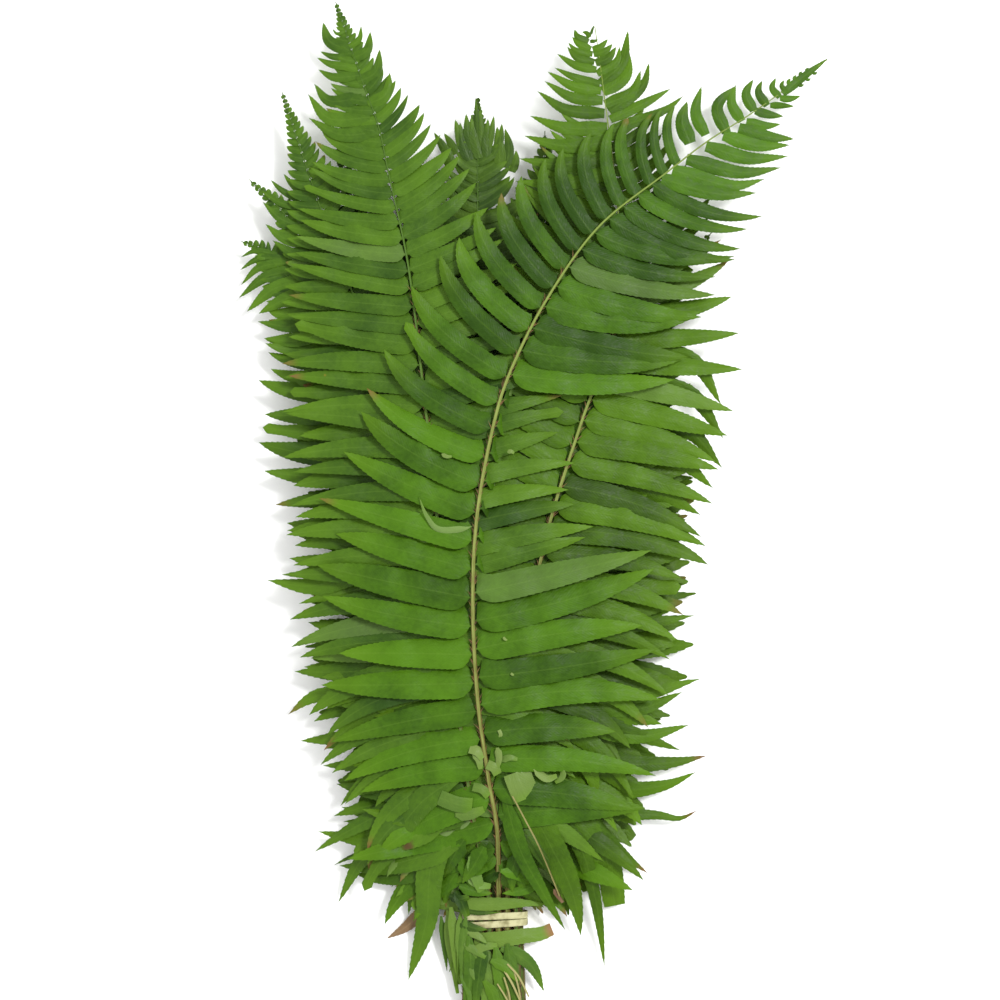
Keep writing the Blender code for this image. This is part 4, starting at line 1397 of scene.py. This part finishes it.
CENTRE_CREST = (
    (-38.4, 223.2, -43.2, 235.2, -44.4, 246.0, 3.4),
    (-32.4, 224.4, -36.0, 237.6, -37.8, 249.6, 3.2),
    (-27.6, 223.2, -28.2, 236.4, -27.6, 248.4, 3.0),
    (-20.4, 219.6, -21.0, 231.6, -22.2, 243.6, 3.4),
    (-49.2, 218.4, -52.8, 228.0, -56.4, 237.0, 3.2),
    (-33.6, 234.0, -34.2, 247.2, -35.1, 261.3, 1.7),
    (-30.6, 231.6, -31.8, 244.2, -32.4, 256.8, 1.9),
    (-37.2, 229.2, -39.6, 240.0, -40.8, 251.4, 2.8),
    (-42.0, 228.0, -45.0, 238.8, -47.4, 247.8, 2.8),
    (-46.8, 226.8, -50.4, 234.0, -54.0, 239.4, 2.4),
    (-51.6, 225.6, -55.8, 232.8, -60.0, 240.0, 2.2),
    (-28.8, 228.0, -25.8, 238.8, -24.0, 250.2, 2.3),
    (-24.6, 225.6, -20.4, 235.2, -19.2, 245.4, 2.5),
    (-16.8, 218.4, -15.0, 230.4, -17.4, 242.4, 3.0),
    (-13.2, 216.0, -10.8, 223.2, -10.8, 229.2, 2.4),
)
LEFT_FRONT_CREST = (
    (-111.0, 289.2, -123.0, 295.2, -126.9, 306.6, 3.6),
    (-113.4, 301.2, -118.2, 299.4, -121.3, 302.7, 1.0),
    (-112.8, 285.0, -121.2, 285.6, -128.4, 288.8, 2.0),
    (-110.4, 279.6, -121.2, 280.8, -130.4, 285.0, 2.4),
    (-107.4, 273.6, -120.0, 273.0, -129.6, 277.8, 2.8),
    (-103.2, 260.4, -122.4, 258.6, -132.0, 269.1, 3.8),
    (-98.4, 248.4, -122.4, 247.8, -135.7, 262.8, 4.2),
    (-94.2, 239.4, -116.4, 238.2, -135.2, 248.4, 4.0),
    (-111.0, 291.6, -105.0, 295.8, -103.8, 304.2, 1.7),
    (-108.6, 284.4, -100.2, 289.2, -98.2, 300.6, 2.9),
    (-105.6, 270.0, -94.8, 276.0, -92.5, 289.8, 3.3),
    (-99.6, 256.2, -88.8, 262.2, -86.4, 275.4, 3.5),
)
LEFT_OUTER_CREST = (
    (-129.6, 127.2, -147.6, 123.6, -166.2, 126.6, 3.8),
    (-128.4, 118.8, -145.2, 114.6, -162.0, 116.4, 3.6),
    (-140.4, 157.2, -160.8, 153.6, -177.6, 141.0, 3.4),
    (-138.0, 151.2, -157.2, 145.8, -172.8, 132.6, 4.0),
    (-145.2, 162.0, -164.4, 159.6, -176.4, 148.8, 2.6),
    (-148.8, 164.4, -165.6, 164.4, -177.0, 157.8, 2.2),
    (-136.8, 144.0, -151.2, 139.2, -165.6, 131.4, 4.0),
    (-154.8, 166.8, -167.4, 169.2, -176.4, 165.6, 1.8),
)
LEFT_WIDE_CREST = (
    (-140.4, 199.2, -151.2, 205.2, -158.4, 211.8, 2.0),
    (-138.0, 202.8, -145.2, 208.8, -150.6, 215.4, 2.0),
    (-135.6, 194.4, -152.4, 198.0, -165.0, 205.8, 2.2),
    (-135.6, 174.0, -150.0, 176.4, -161.4, 185.1, 3.2),
    (-140.4, 183.6, -152.4, 188.4, -163.2, 198.6, 2.6),
    (-127.2, 168.0, -142.8, 166.8, -157.2, 175.2, 3.4),
)
RIGHT_LOW_CREST = (
    (-3.0, -104.0, 44.0, -116.0, 88.0, -131.0, 6.2),
    (0.0, -84.0, 52.0, -98.0, 100.0, -88.0, 6.0),
    (8.0, -44.0, 54.0, -55.0, 96.0, -50.0, 5.6),
    (52.8, 109.2, 93.6, 103.2, 112.2, 76.4, 5.6),
    (51.6, 88.8, 92.4, 82.8, 113.6, 56.0, 5.8),
    (49.8, 70.2, 90.0, 62.4, 112.8, 38.4, 5.8),
    (48.0, 51.6, 85.2, 43.2, 107.2, 26.4, 5.8),
    (43.2, 32.4, 78.0, 21.6, 99.6, 10.4, 5.6),
    (33.6, -117.6, 63.6, -122.4, 93.0, -115.8, 4.4),
    (31.2, -104.4, 63.6, -105.6, 88.8, -96.0, 4.6),
)
STRIP_ABOVE = [
    FreeBlade(((-57.0, -224.6, 11.6), (-40.0, -224.8, 16.2), (-24.0, -224.2, 17.2),
               (-8.0, -223.6, 17.0), (8.0, -224.6, 14.6)), 4.6, Outline.SESSILE, tone=0.8,
              tilt=3.0),
]
STRIP_BELOW = [
    FreeBlade(((-36.0, -246.5, 15.0), (-22.0, -245.8, 16.4), (-8.0, -243.8, 15.8),
               (4.0, -242.5, 13.0), (11.0, -240.0, 10.0)), 4.8, Outline.CUT, tone=1.0, tilt=4.0,
              dry=1.0),
]
DEAD_LEAFLET = [
    FreeBlade(((12.0, -214.5, 23.0), (15.0, -219.0, 20.6), (17.5, -223.0, 18.0)), 1.8,
              Outline.BROKEN, tone=0.0),
    FreeBlade(((-56.0, -226.0, 9.0), (-68.0, -231.5, 5.5), (-78.0, -240.0, 3.0),
               (-88.5, -246.5, 1.5)), 4.4, Outline.SPINDLE, side=-1.0, tone=0.5),
]
SHREDS = [
    FreeBlade(((-50.0, -226.0, 17.0), (-48.0, -244.0, 16.0), (-46.0, -262.0, 13.0),
               (-43.5, -273.0, 11.0)), 3.0, Outline.BROKEN, tone=0.9),
    FreeBlade(((-44.0, -229.0, 17.6), (-46.0, -250.0, 15.5), (-51.0, -266.0, 9.0)), 2.4,
              tone=0.7, tilt=20.0),
    FreeBlade(((-41.0, -232.0, 17.8), (-43.0, -252.0, 16.5), (-41.5, -276.0, 14.5)), 2.6,
              Outline.BROKEN, side=-1.0, tone=0.4),
    FreeBlade(((-56.0, -232.0, 12.0), (-54.0, -250.0, 8.0), (-52.5, -266.0, 4.0)), 2.2, tone=0.2),
    FreeBlade(((-52.0, -228.0, 15.0), (-52.0, -246.0, 12.0), (-49.0, -262.0, 10.0),
               (-46.0, -279.0, 9.0)), 2.0, Outline.BROKEN, tone=1.0, tilt=-20.0),
    FreeBlade(((-47.0, -236.0, 16.6), (-45.0, -256.0, 15.0), (-47.0, -276.0, 10.0)), 1.8,
              tone=0.6, tilt=24.0),
    FreeBlade(((-53.0, -236.0, 10.0), (-50.0, -256.0, 9.0), (-46.0, -274.0, 7.0)), 2.6,
              Outline.BROKEN, tone=0.1),
    FreeBlade(((-42.0, -248.0, 17.0), (-37.0, -251.0, 17.6), (-29.0, -256.0, 17.6)), 2.6,
              Outline.BROKEN, tone=0.4, under=0.2),
    FreeBlade(((-40.0, -241.0, 17.4), (-34.0, -243.0, 18.0), (-28.0, -248.0, 17.8)), 2.4,
              tone=0.6, under=0.5),
    FreeBlade(((-37.0, -254.0, 17.0), (-31.0, -250.0, 17.8), (-22.0, -249.0, 17.4)), 2.8,
              Outline.BROKEN, tone=0.7, under=0.3),
    FreeBlade(((-33.0, -252.0, 16.6), (-28.0, -262.0, 16.4), (-27.0, -292.0, 15.6)), 5.0,
              Outline.CUT, tone=0.6),
    FreeBlade(((-20.0, -251.0, 16.8), (-8.0, -256.0, 15.6), (0.0, -264.0, 12.0),
               (6.0, -277.5, 8.0)), 4.6, side=-1.0, tone=0.2),
    FreeBlade(((-39.0, -256.0, 16.4), (-37.0, -264.0, 16.4), (-33.0, -273.0, 16.2)), 3.0,
              tone=0.5, under=0.2),
]
STALK_LEAVES = [
    FreeBlade(((-39.0, -243.0, 17.4), (-38.0, -262.0, 16.6), (-40.0, -284.0, 15.0),
               (-42.0, -300.0, 13.0)), 4.4, tone=0.5),
    FreeBlade(((-30.0, -246.0, 17.6), (-33.0, -266.0, 17.0), (-36.0, -292.0, 16.4)), 4.2, tone=0.3,
              side=-1.0),
    FreeBlade(((-23.0, -250.0, 17.6), (-20.0, -270.0, 17.0), (-21.0, -297.0, 16.4)), 4.6, tone=0.7),
    FreeBlade(((-16.0, -248.0, 17.4), (-13.0, -268.0, 16.6), (-10.0, -292.0, 15.4)), 4.0, tone=0.4),
    FreeBlade(((-26.0, -258.0, 18.0), (-17.0, -262.0, 18.2), (-9.0, -270.0, 17.2)), 3.4,
              Outline.BROKEN, tone=0.9),
    FreeBlade(((-44.0, -262.0, 15.0), (-38.0, -278.0, 15.6), (-37.0, -296.0, 15.4)), 3.6, tone=0.6,
              tilt=20.0),
    FreeBlade(((-30.0, -270.0, 17.6), (-24.0, -281.0, 17.8), (-22.0, -303.0, 17.0)), 3.6,
              Outline.BROKEN, tone=0.8, side=-1.0),
]
PETIOLE = [
    FreeBlade(((-13.0, -157.0, 43.6), (-5.0, -172.0, 42.0), (4.0, -190.0, 38.0),
               (15.5, -219.0, 21.0)), 0.42, Outline.PATCH, tone=0.3),
]
STRAW = [
    FreeBlade(((-19.0, -262.0, 18.0), (-13.0, -272.0, 18.4), (-8.0, -283.0, 17.4)), 0.6,
              Outline.CUT, tone=0.9),
    FreeBlade(((-16.0, -260.0, 18.4), (-9.0, -268.0, 18.2), (-3.0, -280.0, 16.6)), 0.55,
              Outline.CUT, tone=1.0),
    FreeBlade(((-18.0, -268.0, 18.6), (-15.0, -278.0, 18.8), (-13.0, -292.0, 18.0)), 0.5,
              Outline.CUT, tone=0.7),
    FreeBlade(((-12.0, -264.0, 17.8), (-9.0, -276.0, 17.4), (-7.0, -290.0, 16.4)), 0.5,
              Outline.CUT, tone=0.8),
    FreeBlade(((-22.0, -272.0, 18.2), (-16.0, -282.0, 18.4), (-12.0, -294.0, 17.4)), 0.45,
              Outline.CUT, tone=1.0),
]
CURLED_PIECE = [
    FreeBlade(((-46.0, -227.0, 15.6), (-34.0, -229.4, 17.4), (-20.0, -229.0, 17.6)), 1.6, tone=0.2),
    FreeBlade(((-46.0, -234.0, 16.6), (-38.0, -238.0, 17.6), (-28.0, -239.5, 17.4)), 3.0, tone=0.3),
    FreeBlade(((-47.0, -216.0, 18.6), (-43.0, -224.0, 19.4), (-40.0, -231.5, 18.6)), 4.2,
              Outline.BROKEN, tilt=38.0, tone=0.0),
    FreeBlade(((-51.0, -219.0, 17.6), (-45.0, -221.0, 19.8), (-39.0, -219.5, 18.4)), 3.2,
              Outline.BROKEN, tilt=-30.0, tone=0.0),
]
CHAFF = [
    FreeBlade(((-10.5, -142.6, 1.6), (-7.6, -150.5, 2.4), (-4.2, -158.6, 1.6)), 8.2,
              Outline.PATCH, tone=0.6, under=0.5),
    FreeBlade(((-38.5, -128.5, 1.2), (-34.0, -130.0, 2.0), (-30.0, -134.0, 1.4)), 3.0,
              Outline.PATCH, tone=0.8, under=0.8, tilt=20.0),
    FreeBlade(((-36.5, -131.0, 1.4), (-33.0, -135.0, 2.0), (-32.0, -141.0, 1.2)), 2.4,
              Outline.BROKEN, tone=0.5, under=0.8),
    FreeBlade(((-28.0, -138.0, 1.8), (-24.0, -140.0, 2.2), (-21.5, -144.0, 1.2)), 2.8,
              Outline.PATCH, tone=0.7, under=0.5),
    FreeBlade(((0.0, -140.5, 1.4), (7.0, -146.5, 2.6), (13.5, -145.0, 1.6)), 2.6,
              Outline.BROKEN, tone=0.7, under=0.8, tilt=24.0),
    FreeBlade(((17.5, -141.5, 1.4), (16.5, -146.0, 2.2), (12.5, -149.0, 1.6)), 1.9,
              Outline.BROKEN, tone=0.5, under=0.4, tilt=-20.0),
    FreeBlade(((-56.5, -158.0, 1.4), (-46.0, -162.0, 2.6), (-37.0, -163.0, 1.8)), 4.6,
              Outline.PATCH, side=-1.0, tone=0.3, under=0.1),
    FreeBlade(((-47.0, -168.5, 1.8), (-38.0, -168.0, 2.8), (-30.0, -165.0, 1.8)), 3.6,
              Outline.BROKEN, side=-1.0, tone=0.5, under=0.2),
    FreeBlade(((-36.5, -151.5, 1.4), (-31.0, -153.0, 2.2), (-27.0, -157.0, 1.4)), 2.6,
              Outline.PATCH, tone=0.5, under=0.2),
    FreeBlade(((-20.0, -136.0, 1.4), (-15.0, -134.0, 2.0), (-10.0, -135.0, 1.4)), 2.0,
              Outline.BROKEN, tone=0.4, under=0.3, tilt=14.0),
    FreeBlade(((-22.0, -128.0, 1.4), (-21.0, -134.0, 2.2), (-22.0, -140.0, 1.6)), 2.2,
              Outline.BROKEN, tone=0.6, under=0.9, tilt=-18.0),
    FreeBlade(((-55.0, 46.5, 1.0), (-52.0, 45.0, 1.4), (-49.0, 45.0, 1.0)), 1.2,
              Outline.BROKEN, tone=0.6, under=0.8),
    FreeBlade(((-16.0, 47.5, 1.0), (-14.0, 48.0, 1.5), (-12.0, 47.0, 1.0)), 1.3,
              Outline.BROKEN, tone=0.6, under=0.8),
    FreeBlade(((-18.5, -62.0, 1.2), (-17.4, -63.4, 1.6), (-16.0, -64.0, 1.2)), 0.8,
              Outline.BROKEN, tone=1.0, under=1.0),
    FreeBlade(((-14.0, -83.5, 1.2), (-13.0, -84.4, 1.6), (-12.0, -84.6, 1.2)), 0.8,
              Outline.BROKEN, tone=1.0, under=1.0),
    FreeBlade(((-21.0, -117.5, 1.2), (-20.0, -120.0, 1.6), (-20.5, -123.0, 1.2)), 1.1,
              Outline.PATCH, tone=1.0, under=1.0),
]
# Small torn leaves over the stalks just above the band
COLLAR = [
    FreeBlade(((-45.0, -213.0, 19.4), (-34.0, -216.5, 19.6), (-25.0, -217.5, 19.4)), 3.6, tone=0.5),
    FreeBlade(((2.0, -212.0, 18.4), (-8.0, -216.0, 19.0), (-19.0, -217.5, 19.4)), 3.4, tone=0.7,
              side=-1.0),
    FreeBlade(((-30.0, -188.0, 34.0), (-35.0, -198.0, 30.0), (-43.0, -211.0, 21.0)), 5.4, tone=0.5,
              side=-1.0),
    FreeBlade(((-12.0, -184.0, 36.0), (-5.0, -196.0, 30.0), (4.0, -209.0, 19.0)), 5.0, tone=0.5),
    FreeBlade(((-42.0, -184.0, 34.0), (-48.0, -194.0, 29.0), (-54.0, -208.0, 18.0)), 5.2, tone=0.3,
              side=-1.0),
    FreeBlade(((-44.0, -196.0, 27.0), (-39.0, -206.0, 22.0), (-34.0, -217.0, 18.4)), 4.6, tone=0.4),
    FreeBlade(((-38.0, -194.0, 30.0), (-35.0, -206.0, 24.0), (-31.0, -218.0, 18.8)), 3.8,
              Outline.BROKEN, tone=0.7, under=0.5),
    FreeBlade(((-10.0, -192.0, 31.0), (-13.0, -204.0, 25.0), (-13.0, -217.0, 19.0)), 4.4, tone=0.3,
              side=-1.0),
    FreeBlade(((-8.0, -194.0, 28.0), (-9.0, -206.0, 22.0), (-5.0, -218.0, 17.0)), 4.2, tone=0.6,
              side=-1.0),
    FreeBlade(((-28.0, -201.0, 27.6), (-38.0, -204.0, 24.6), (-48.0, -212.0, 18.0)), 3.6, tone=0.5,
              side=-1.0),
    FreeBlade(((-20.0, -203.0, 27.0), (-10.0, -206.0, 23.6), (1.0, -214.0, 15.0)), 3.4, tone=0.8),
    FreeBlade(((-40.0, -207.0, 21.6), (-33.0, -212.0, 20.6), (-26.0, -213.0, 21.0)), 2.8,
              Outline.BROKEN, tone=0.9, under=0.8),
    FreeBlade(((-46.0, -204.0, 21.0), (-52.0, -214.0, 17.0), (-54.0, -226.0, 12.0)), 3.8, tone=0.6,
              side=-1.0),
]


def fronds() -> list[FernFrond]:
    """The bunch's eighteen fronds, from the top sheet to the bottom one.

    Returns:
        The fronds, the front one first.
    """
    shown, covered = Detail.SHOWN, Detail.COVERED
    return [
        FernFrond("frond_front", 18.5, 2, 3,
                  ((-22.2, -178.8), (-27.0, -148.2), (-33.6, -100.8), (-36.6, -44.4), (-34.2, 9.0),
                   (-24.6, 62.4), (-13.8, 96.6), (7.8, 139.2), (38.4, 182.0), (78.6, 214.5),
                   (104.4, 234.5), (132.0, 252.5), (177.6, 285.6)),
                  90.0, 108.0, -189.0, "leaf_front", shown, "frond_front", 11, extra=FRONT_EXTRA,
                  spacing=16.8, closing_from=0.40, taper=(1.9, 2.7), tip_length=1.5, slim=0.12,
                  late_bend=(1.0, 0.0), tucked=((8.0, 80.0), (-20.0, 0.0)), stalk="stalk",
                  crest=FRONT_CREST, bare_tip=(106.0, 131.0), deeper=0.30),
        FernFrond("frond_left_front", 16.8, 2, 2,
                  ((-36.0, -172.8), (-44.4, -112.8), (-52.8, -40.8), (-60.0, 31.2), (-66.0, 85.2),
                   (-75.0, 158.4), (-87.0, 214.8), (-93.0, 242.4), (-103.0, 271.0),
                   (-119.4, 319.2)),
                  92.0, 88.0, -168.0, "leaf_left", shown, "frond_left", 12, extra=LEFT_FRONT_EXTRA,
                  spacing=12.8, taper=(2.3, 1.8), slim=0.0, recurve=(26.0, 24.0),
                  recurve_to=0.74, crest=LEFT_FRONT_CREST),
        FernFrond("frond_right_front", 15.45, 2, 4,
                  ((-15.6, -160.8), (-10.8, -100.8), (5.4, -9.0), (27.6, 64.2), (47.4, 121.2),
                   (50.4, 187.0), (42.0, 262.2), (36.6, 303.6)),
                  94.0, 93.0, -165.0, "leaf_right", shown, "frond_right", 13,
                  extra=RIGHT_FRONT_EXTRA, spacing=13.8, taper=(3.0, 2.3), tip_length=2.0,
                  slim=0.06, recurve=(10.0, 34.0), recurve_to=0.62, stalk="stalk",
                  crest=RIGHT_FRONT_CREST, bare_tip=(66.0, 66.0)),
        FernFrond("frond_left_high", 14.1, 2, 1,
                  ((-43.2, -142.8), (-53.4, -58.8), (-68.4, 19.2), (-86.4, 85.2), (-125.4, 187.2),
                   (-151.8, 265.2)),
                  88.0, 86.0, -161.0, "leaf_left", shown, "frond_left", 14, extra=LEFT_HIGH_EXTRA,
                  spacing=13.4, taper=(1.3, 1.6), slim=0.02, recurve=(18.0, 18.0), recurve_to=0.8),
        FernFrond("frond_right_low", 13.05, 2, 5,
                  ((-8.4, -148.8), (-1.2, -82.8), (25.8, 40.2), (66.6, 133.2), (106.8, 180.0)),
                  88.0, 83.0, -161.0, "leaf_right", shown, "frond_right", 15, extra=RIGHT_LOW_EXTRA,
                  crest=RIGHT_LOW_CREST),
        FernFrond("frond_left_wide", 12.06, 2, 0,
                  ((-44.4, -136.8), (-53.4, -52.8), (-83.4, 79.2), (-140.4, 178.2),
                   (-171.6, 212.4)),
                  80.0, 84.0, -161.0, "leaf_left", shown, "frond_left", 16, extra=LEFT_WIDE_EXTRA,
                  spacing=16.0, taper=(1.5, 2.0), slim=0.0, wildness=1.6, crest=LEFT_WIDE_CREST),
        FernFrond("frond_centre_high", 11, 1, 3,
                  ((-27.6, -124.8), (-31.2, -34.8), (-33.6, 127.2), (-33.6, 261.0)),
                  84.0, 88.0, -156.0, "leaf_back", shown, "frond_back", 17,
                  spacing=12.0, wildness=3.2, taper=(2.4, 2.4), tip_length=2.0, slim=-0.06,
                  crest=CENTRE_CREST),
        FernFrond("frond_left_outer", 9.96, 1, 0,
                  ((-47.4, -148.8), (-68.4, -4.8), (-110.4, 103.2), (-158.4, 164.4),
                   (-176.4, 175.2)),
                  80.0, 80.0, -155.0, "leaf_left", shown, "frond_left", 18, extra=LEFT_OUTER_EXTRA,
                  spacing=15.0, taper=(2.8, 3.2), slim=0.0, wildness=1.9, crest=LEFT_OUTER_CREST),
        FernFrond("frond_centre_right", 9, 1, 4,
                  ((-16.2, -148.8), (-11.4, -70.8), (3.6, 97.2), (6.6, 241.2)),
                  84.0, 88.0, -155.0, "leaf_back", covered, "frond_back", 19,
                  wildness=2.4, taper=(2.6, 2.6), slim=0.0),
        FernFrond("frond_left_inner", 8, 1, 1,
                  ((-47.4, -112.8), (-57.6, -28.8), (-83.4, 121.2), (-119.4, 235.2)),
                  84.0, 82.0, -155.0, "leaf_back", covered, "frond_back", 20),
        FernFrond("frond_right_inner", 7, 1, 5,
                  ((-3.6, -142.8), (8.4, -70.8), (45.6, 43.2), (87.6, 121.2)),
                  80.0, 76.0, -155.0, "leaf_right", covered, "frond_right", 21),
        FernFrond("frond_left_centre", 6, 1, 2,
                  ((-37.2, -142.8), (-44.4, -64.8), (-58.8, 97.2), (-68.4, 229.2)),
                  84.0, 82.0, -155.0, "leaf_back", covered, "frond_back", 22),
        FernFrond("frond_right_outer", 5, 1, 6,
                  ((-4.0, -180.0), (8.0, -124.8), (42.6, -4.8), (81.6, 67.2)),
                  76.0, 74.0, -155.0, "leaf_right", covered, "frond_right", 23,
                  extra=RIGHT_OUTER_EXTRA),
        FernFrond("frond_under_centre", 4, 0, 2,
                  ((-23.4, -112.8), (-19.2, 61.2), (-20.4, 205.2)),
                  84.0, 84.0, -155.0, "leaf_back", covered, "frond_back", 24),
        FernFrond("frond_under_right", 3, 0, 4,
                  ((-8.4, -148.8), (2.4, -76.8), (32.4, 73.2), (63.6, 199.2)),
                  80.0, 84.0, -155.0, "leaf_back", covered, "frond_back", 25),
        FernFrond("frond_under_left", 2, 0, 0,
                  ((-47.4, -142.8), (-73.2, 7.2), (-122.4, 97.2), (-146.4, 121.2)),
                  76.0, 78.0, -155.0, "leaf_back", covered, "frond_back", 26),
        FernFrond("frond_bottom_right", 1, 0, 3,
                  ((-15.6, -154.8), (-9.6, -88.8), (13.2, 73.2), (30.6, 211.2)),
                  80.0, 82.0, -155.0, "leaf_back", covered, "frond_back", 27),
        FernFrond("frond_bottom_left", 0, 0, 1,
                  ((-30.0, -124.8), (-36.0, -34.8), (-43.2, 49.2), (-53.4, 199.2)),
                  80.0, 80.0, -155.0, "leaf_back", covered, "frond_back", 28),
    ]


@dataclass
class Studio:
    """Pale floor, soft light from the upper right and a camera looking straight down."""

    camera_height: float = 2200.0
    focus_height: float = 25.0
    sensor: float = 36.0
    key_power: float = 2.6
    key_softness: float = 12.0
    key_turn: tuple[float, float, float] = (-18.0, 28.0, 0.0)
    sky: float = 1.2
    floor_half: float = 3.0
    floor_level: float = -0.0002

    def floor(self, finish: bpy.types.Material) -> None:
        """Lays the floor under the bunch.

        Args:
            finish: What it is covered with.
        """
        mesh = bpy.data.meshes.new("floor")
        corners = [(x * self.floor_half, y * self.floor_half, self.floor_level)
                   for x, y in ((-1, -1), (1, -1), (1, 1), (-1, 1))]
        mesh.from_pydata(corners, [], [(0, 1, 2, 3)])
        mesh.materials.append(finish)
        made = bpy.data.objects.new("floor", mesh)
        bpy.context.collection.objects.link(made)

    def light(self) -> None:
        """A broad soft sun from the upper right, and an even pale sky."""
        lamp = bpy.data.lights.new("key", "SUN")
        lamp.energy, lamp.angle = self.key_power, math.radians(self.key_softness)
        made = bpy.data.objects.new("key", lamp)
        made.rotation_euler = tuple(map(math.radians, self.key_turn))
        bpy.context.collection.objects.link(made)
        world = bpy.data.worlds.new("studio")
        world.use_nodes = True
        world.node_tree.nodes["Background"].inputs[0].default_value = (1.0, 1.0, 1.0, 1.0)
        world.node_tree.nodes["Background"].inputs[1].default_value = self.sky
        bpy.context.scene.world = world

    def camera(self) -> None:
        """Puts the camera over the photograph's centre, framing 600 mm."""
        lens = bpy.data.cameras.new("camera")
        half_angle = math.atan(0.5 * PHOTO_SPAN_MM / self.camera_height)
        lens.sensor_width = lens.sensor_height = self.sensor
        lens.lens = 0.5 * self.sensor / math.tan(half_angle)
        made = bpy.data.objects.new("camera", lens)
        centre = np.array(PHOTO_CENTRE_MM) + SHIFT
        made.location = (centre[0] * MM, centre[1] * MM,
                         (self.camera_height + self.focus_height) * MM)
        bpy.context.collection.objects.link(made)
        bpy.context.scene.camera = made
        bpy.context.scene.view_settings.view_transform = "Standard"


def main() -> None:
    """Builds the bunch and the studio round it."""
    logging.basicConfig(level=logging.INFO)
    finishes = {
        "leaf_front": LeafFinish("waxy_fern_leaf_front", "#203a04", "#446a0c",
                                 shine=0.13).material(),
        "leaf_left": LeafFinish(
            "waxy_fern_leaf_left", "#213c07", "#476810",
            blemishes=((-75.6, -187.8, 4.6, "#4a3020"), (-125.0, 94.0, 2.2, "#7a6a20"),
                       (-113.0, 41.0, 1.8, "#7a6a20"))).material(),
        "leaf_right": LeafFinish("waxy_fern_leaf_right", "#233a04", "#466809",
                                 shine=0.14).material(),
        "leaf_back": LeafFinish("waxy_fern_leaf_back", "#203808", "#415c12").material(),
        "leaf_loose": LeafFinish("bruised_loose_leaf", "#365614", "#567026", under="#6a7c42",
                                 dry="#7c5c38").material(),
        "leaf_dead": LeafFinish("dead_brown_leaf", "#5c4430", "#86704f", vein="#9a8464",
                                under="#7c6748", ripe="#7c6448", shine=0.2,
                                roughness=0.7).material(),
        "straw": LeafFinish("dry_straw_strand", "#6a6636", "#938e5c", vein="#9a9464",
                            under="#8a845a", ripe="#88824e", shine=0.2, roughness=0.7).material(),
        "stalk": StalkFinish("ribbed_fern_stalk").material(),
        "stalk_green": StalkFinish("ribbed_green_stalk", "#5c7430", "#38521a",
                                   young="#3f5c18").material(),
        "scale": ScaleFinish("papery_stalk_scale").material(),
        "band": BandFinish("talced_elastic_band").material(),
        "floor": FloorFinish("white_paper_floor").material(),
    }
    studio = Studio()
    studio.floor(finishes["floor"])
    studio.light()
    studio.camera()
    plants = fronds()
    for frond in plants:
        frond.build(finishes)
    TieBand().build(finishes)
    for pieces in (
        LoosePieces("strip_above", STRIP_ABOVE, "leaf_loose", "loose_leaflet_above"),
        LoosePieces("strip_below", STRIP_BELOW, "leaf_loose", "loose_leaflet_below"),
        LoosePieces("dead_leaflet", DEAD_LEAFLET, "leaf_dead"),
        LoosePieces("stalk_shreds", SHREDS, "leaf_loose"),
        LoosePieces("stalk_leaves", STALK_LEAVES, "leaf_left"),
        LoosePieces("straw_strands", STRAW, "straw"),
        LoosePieces("bare_petiole", PETIOLE, "straw"),
        LoosePieces("curled_piece", CURLED_PIECE, "leaf_back"),
        LoosePieces("leaf_chaff", CHAFF, "leaf_loose", lies_on=plants[0]),
        LoosePieces("collar_leaves", COLLAR, "leaf_front"),
    ):
        pieces.build(finishes)


if __name__ == "__main__":
    main()
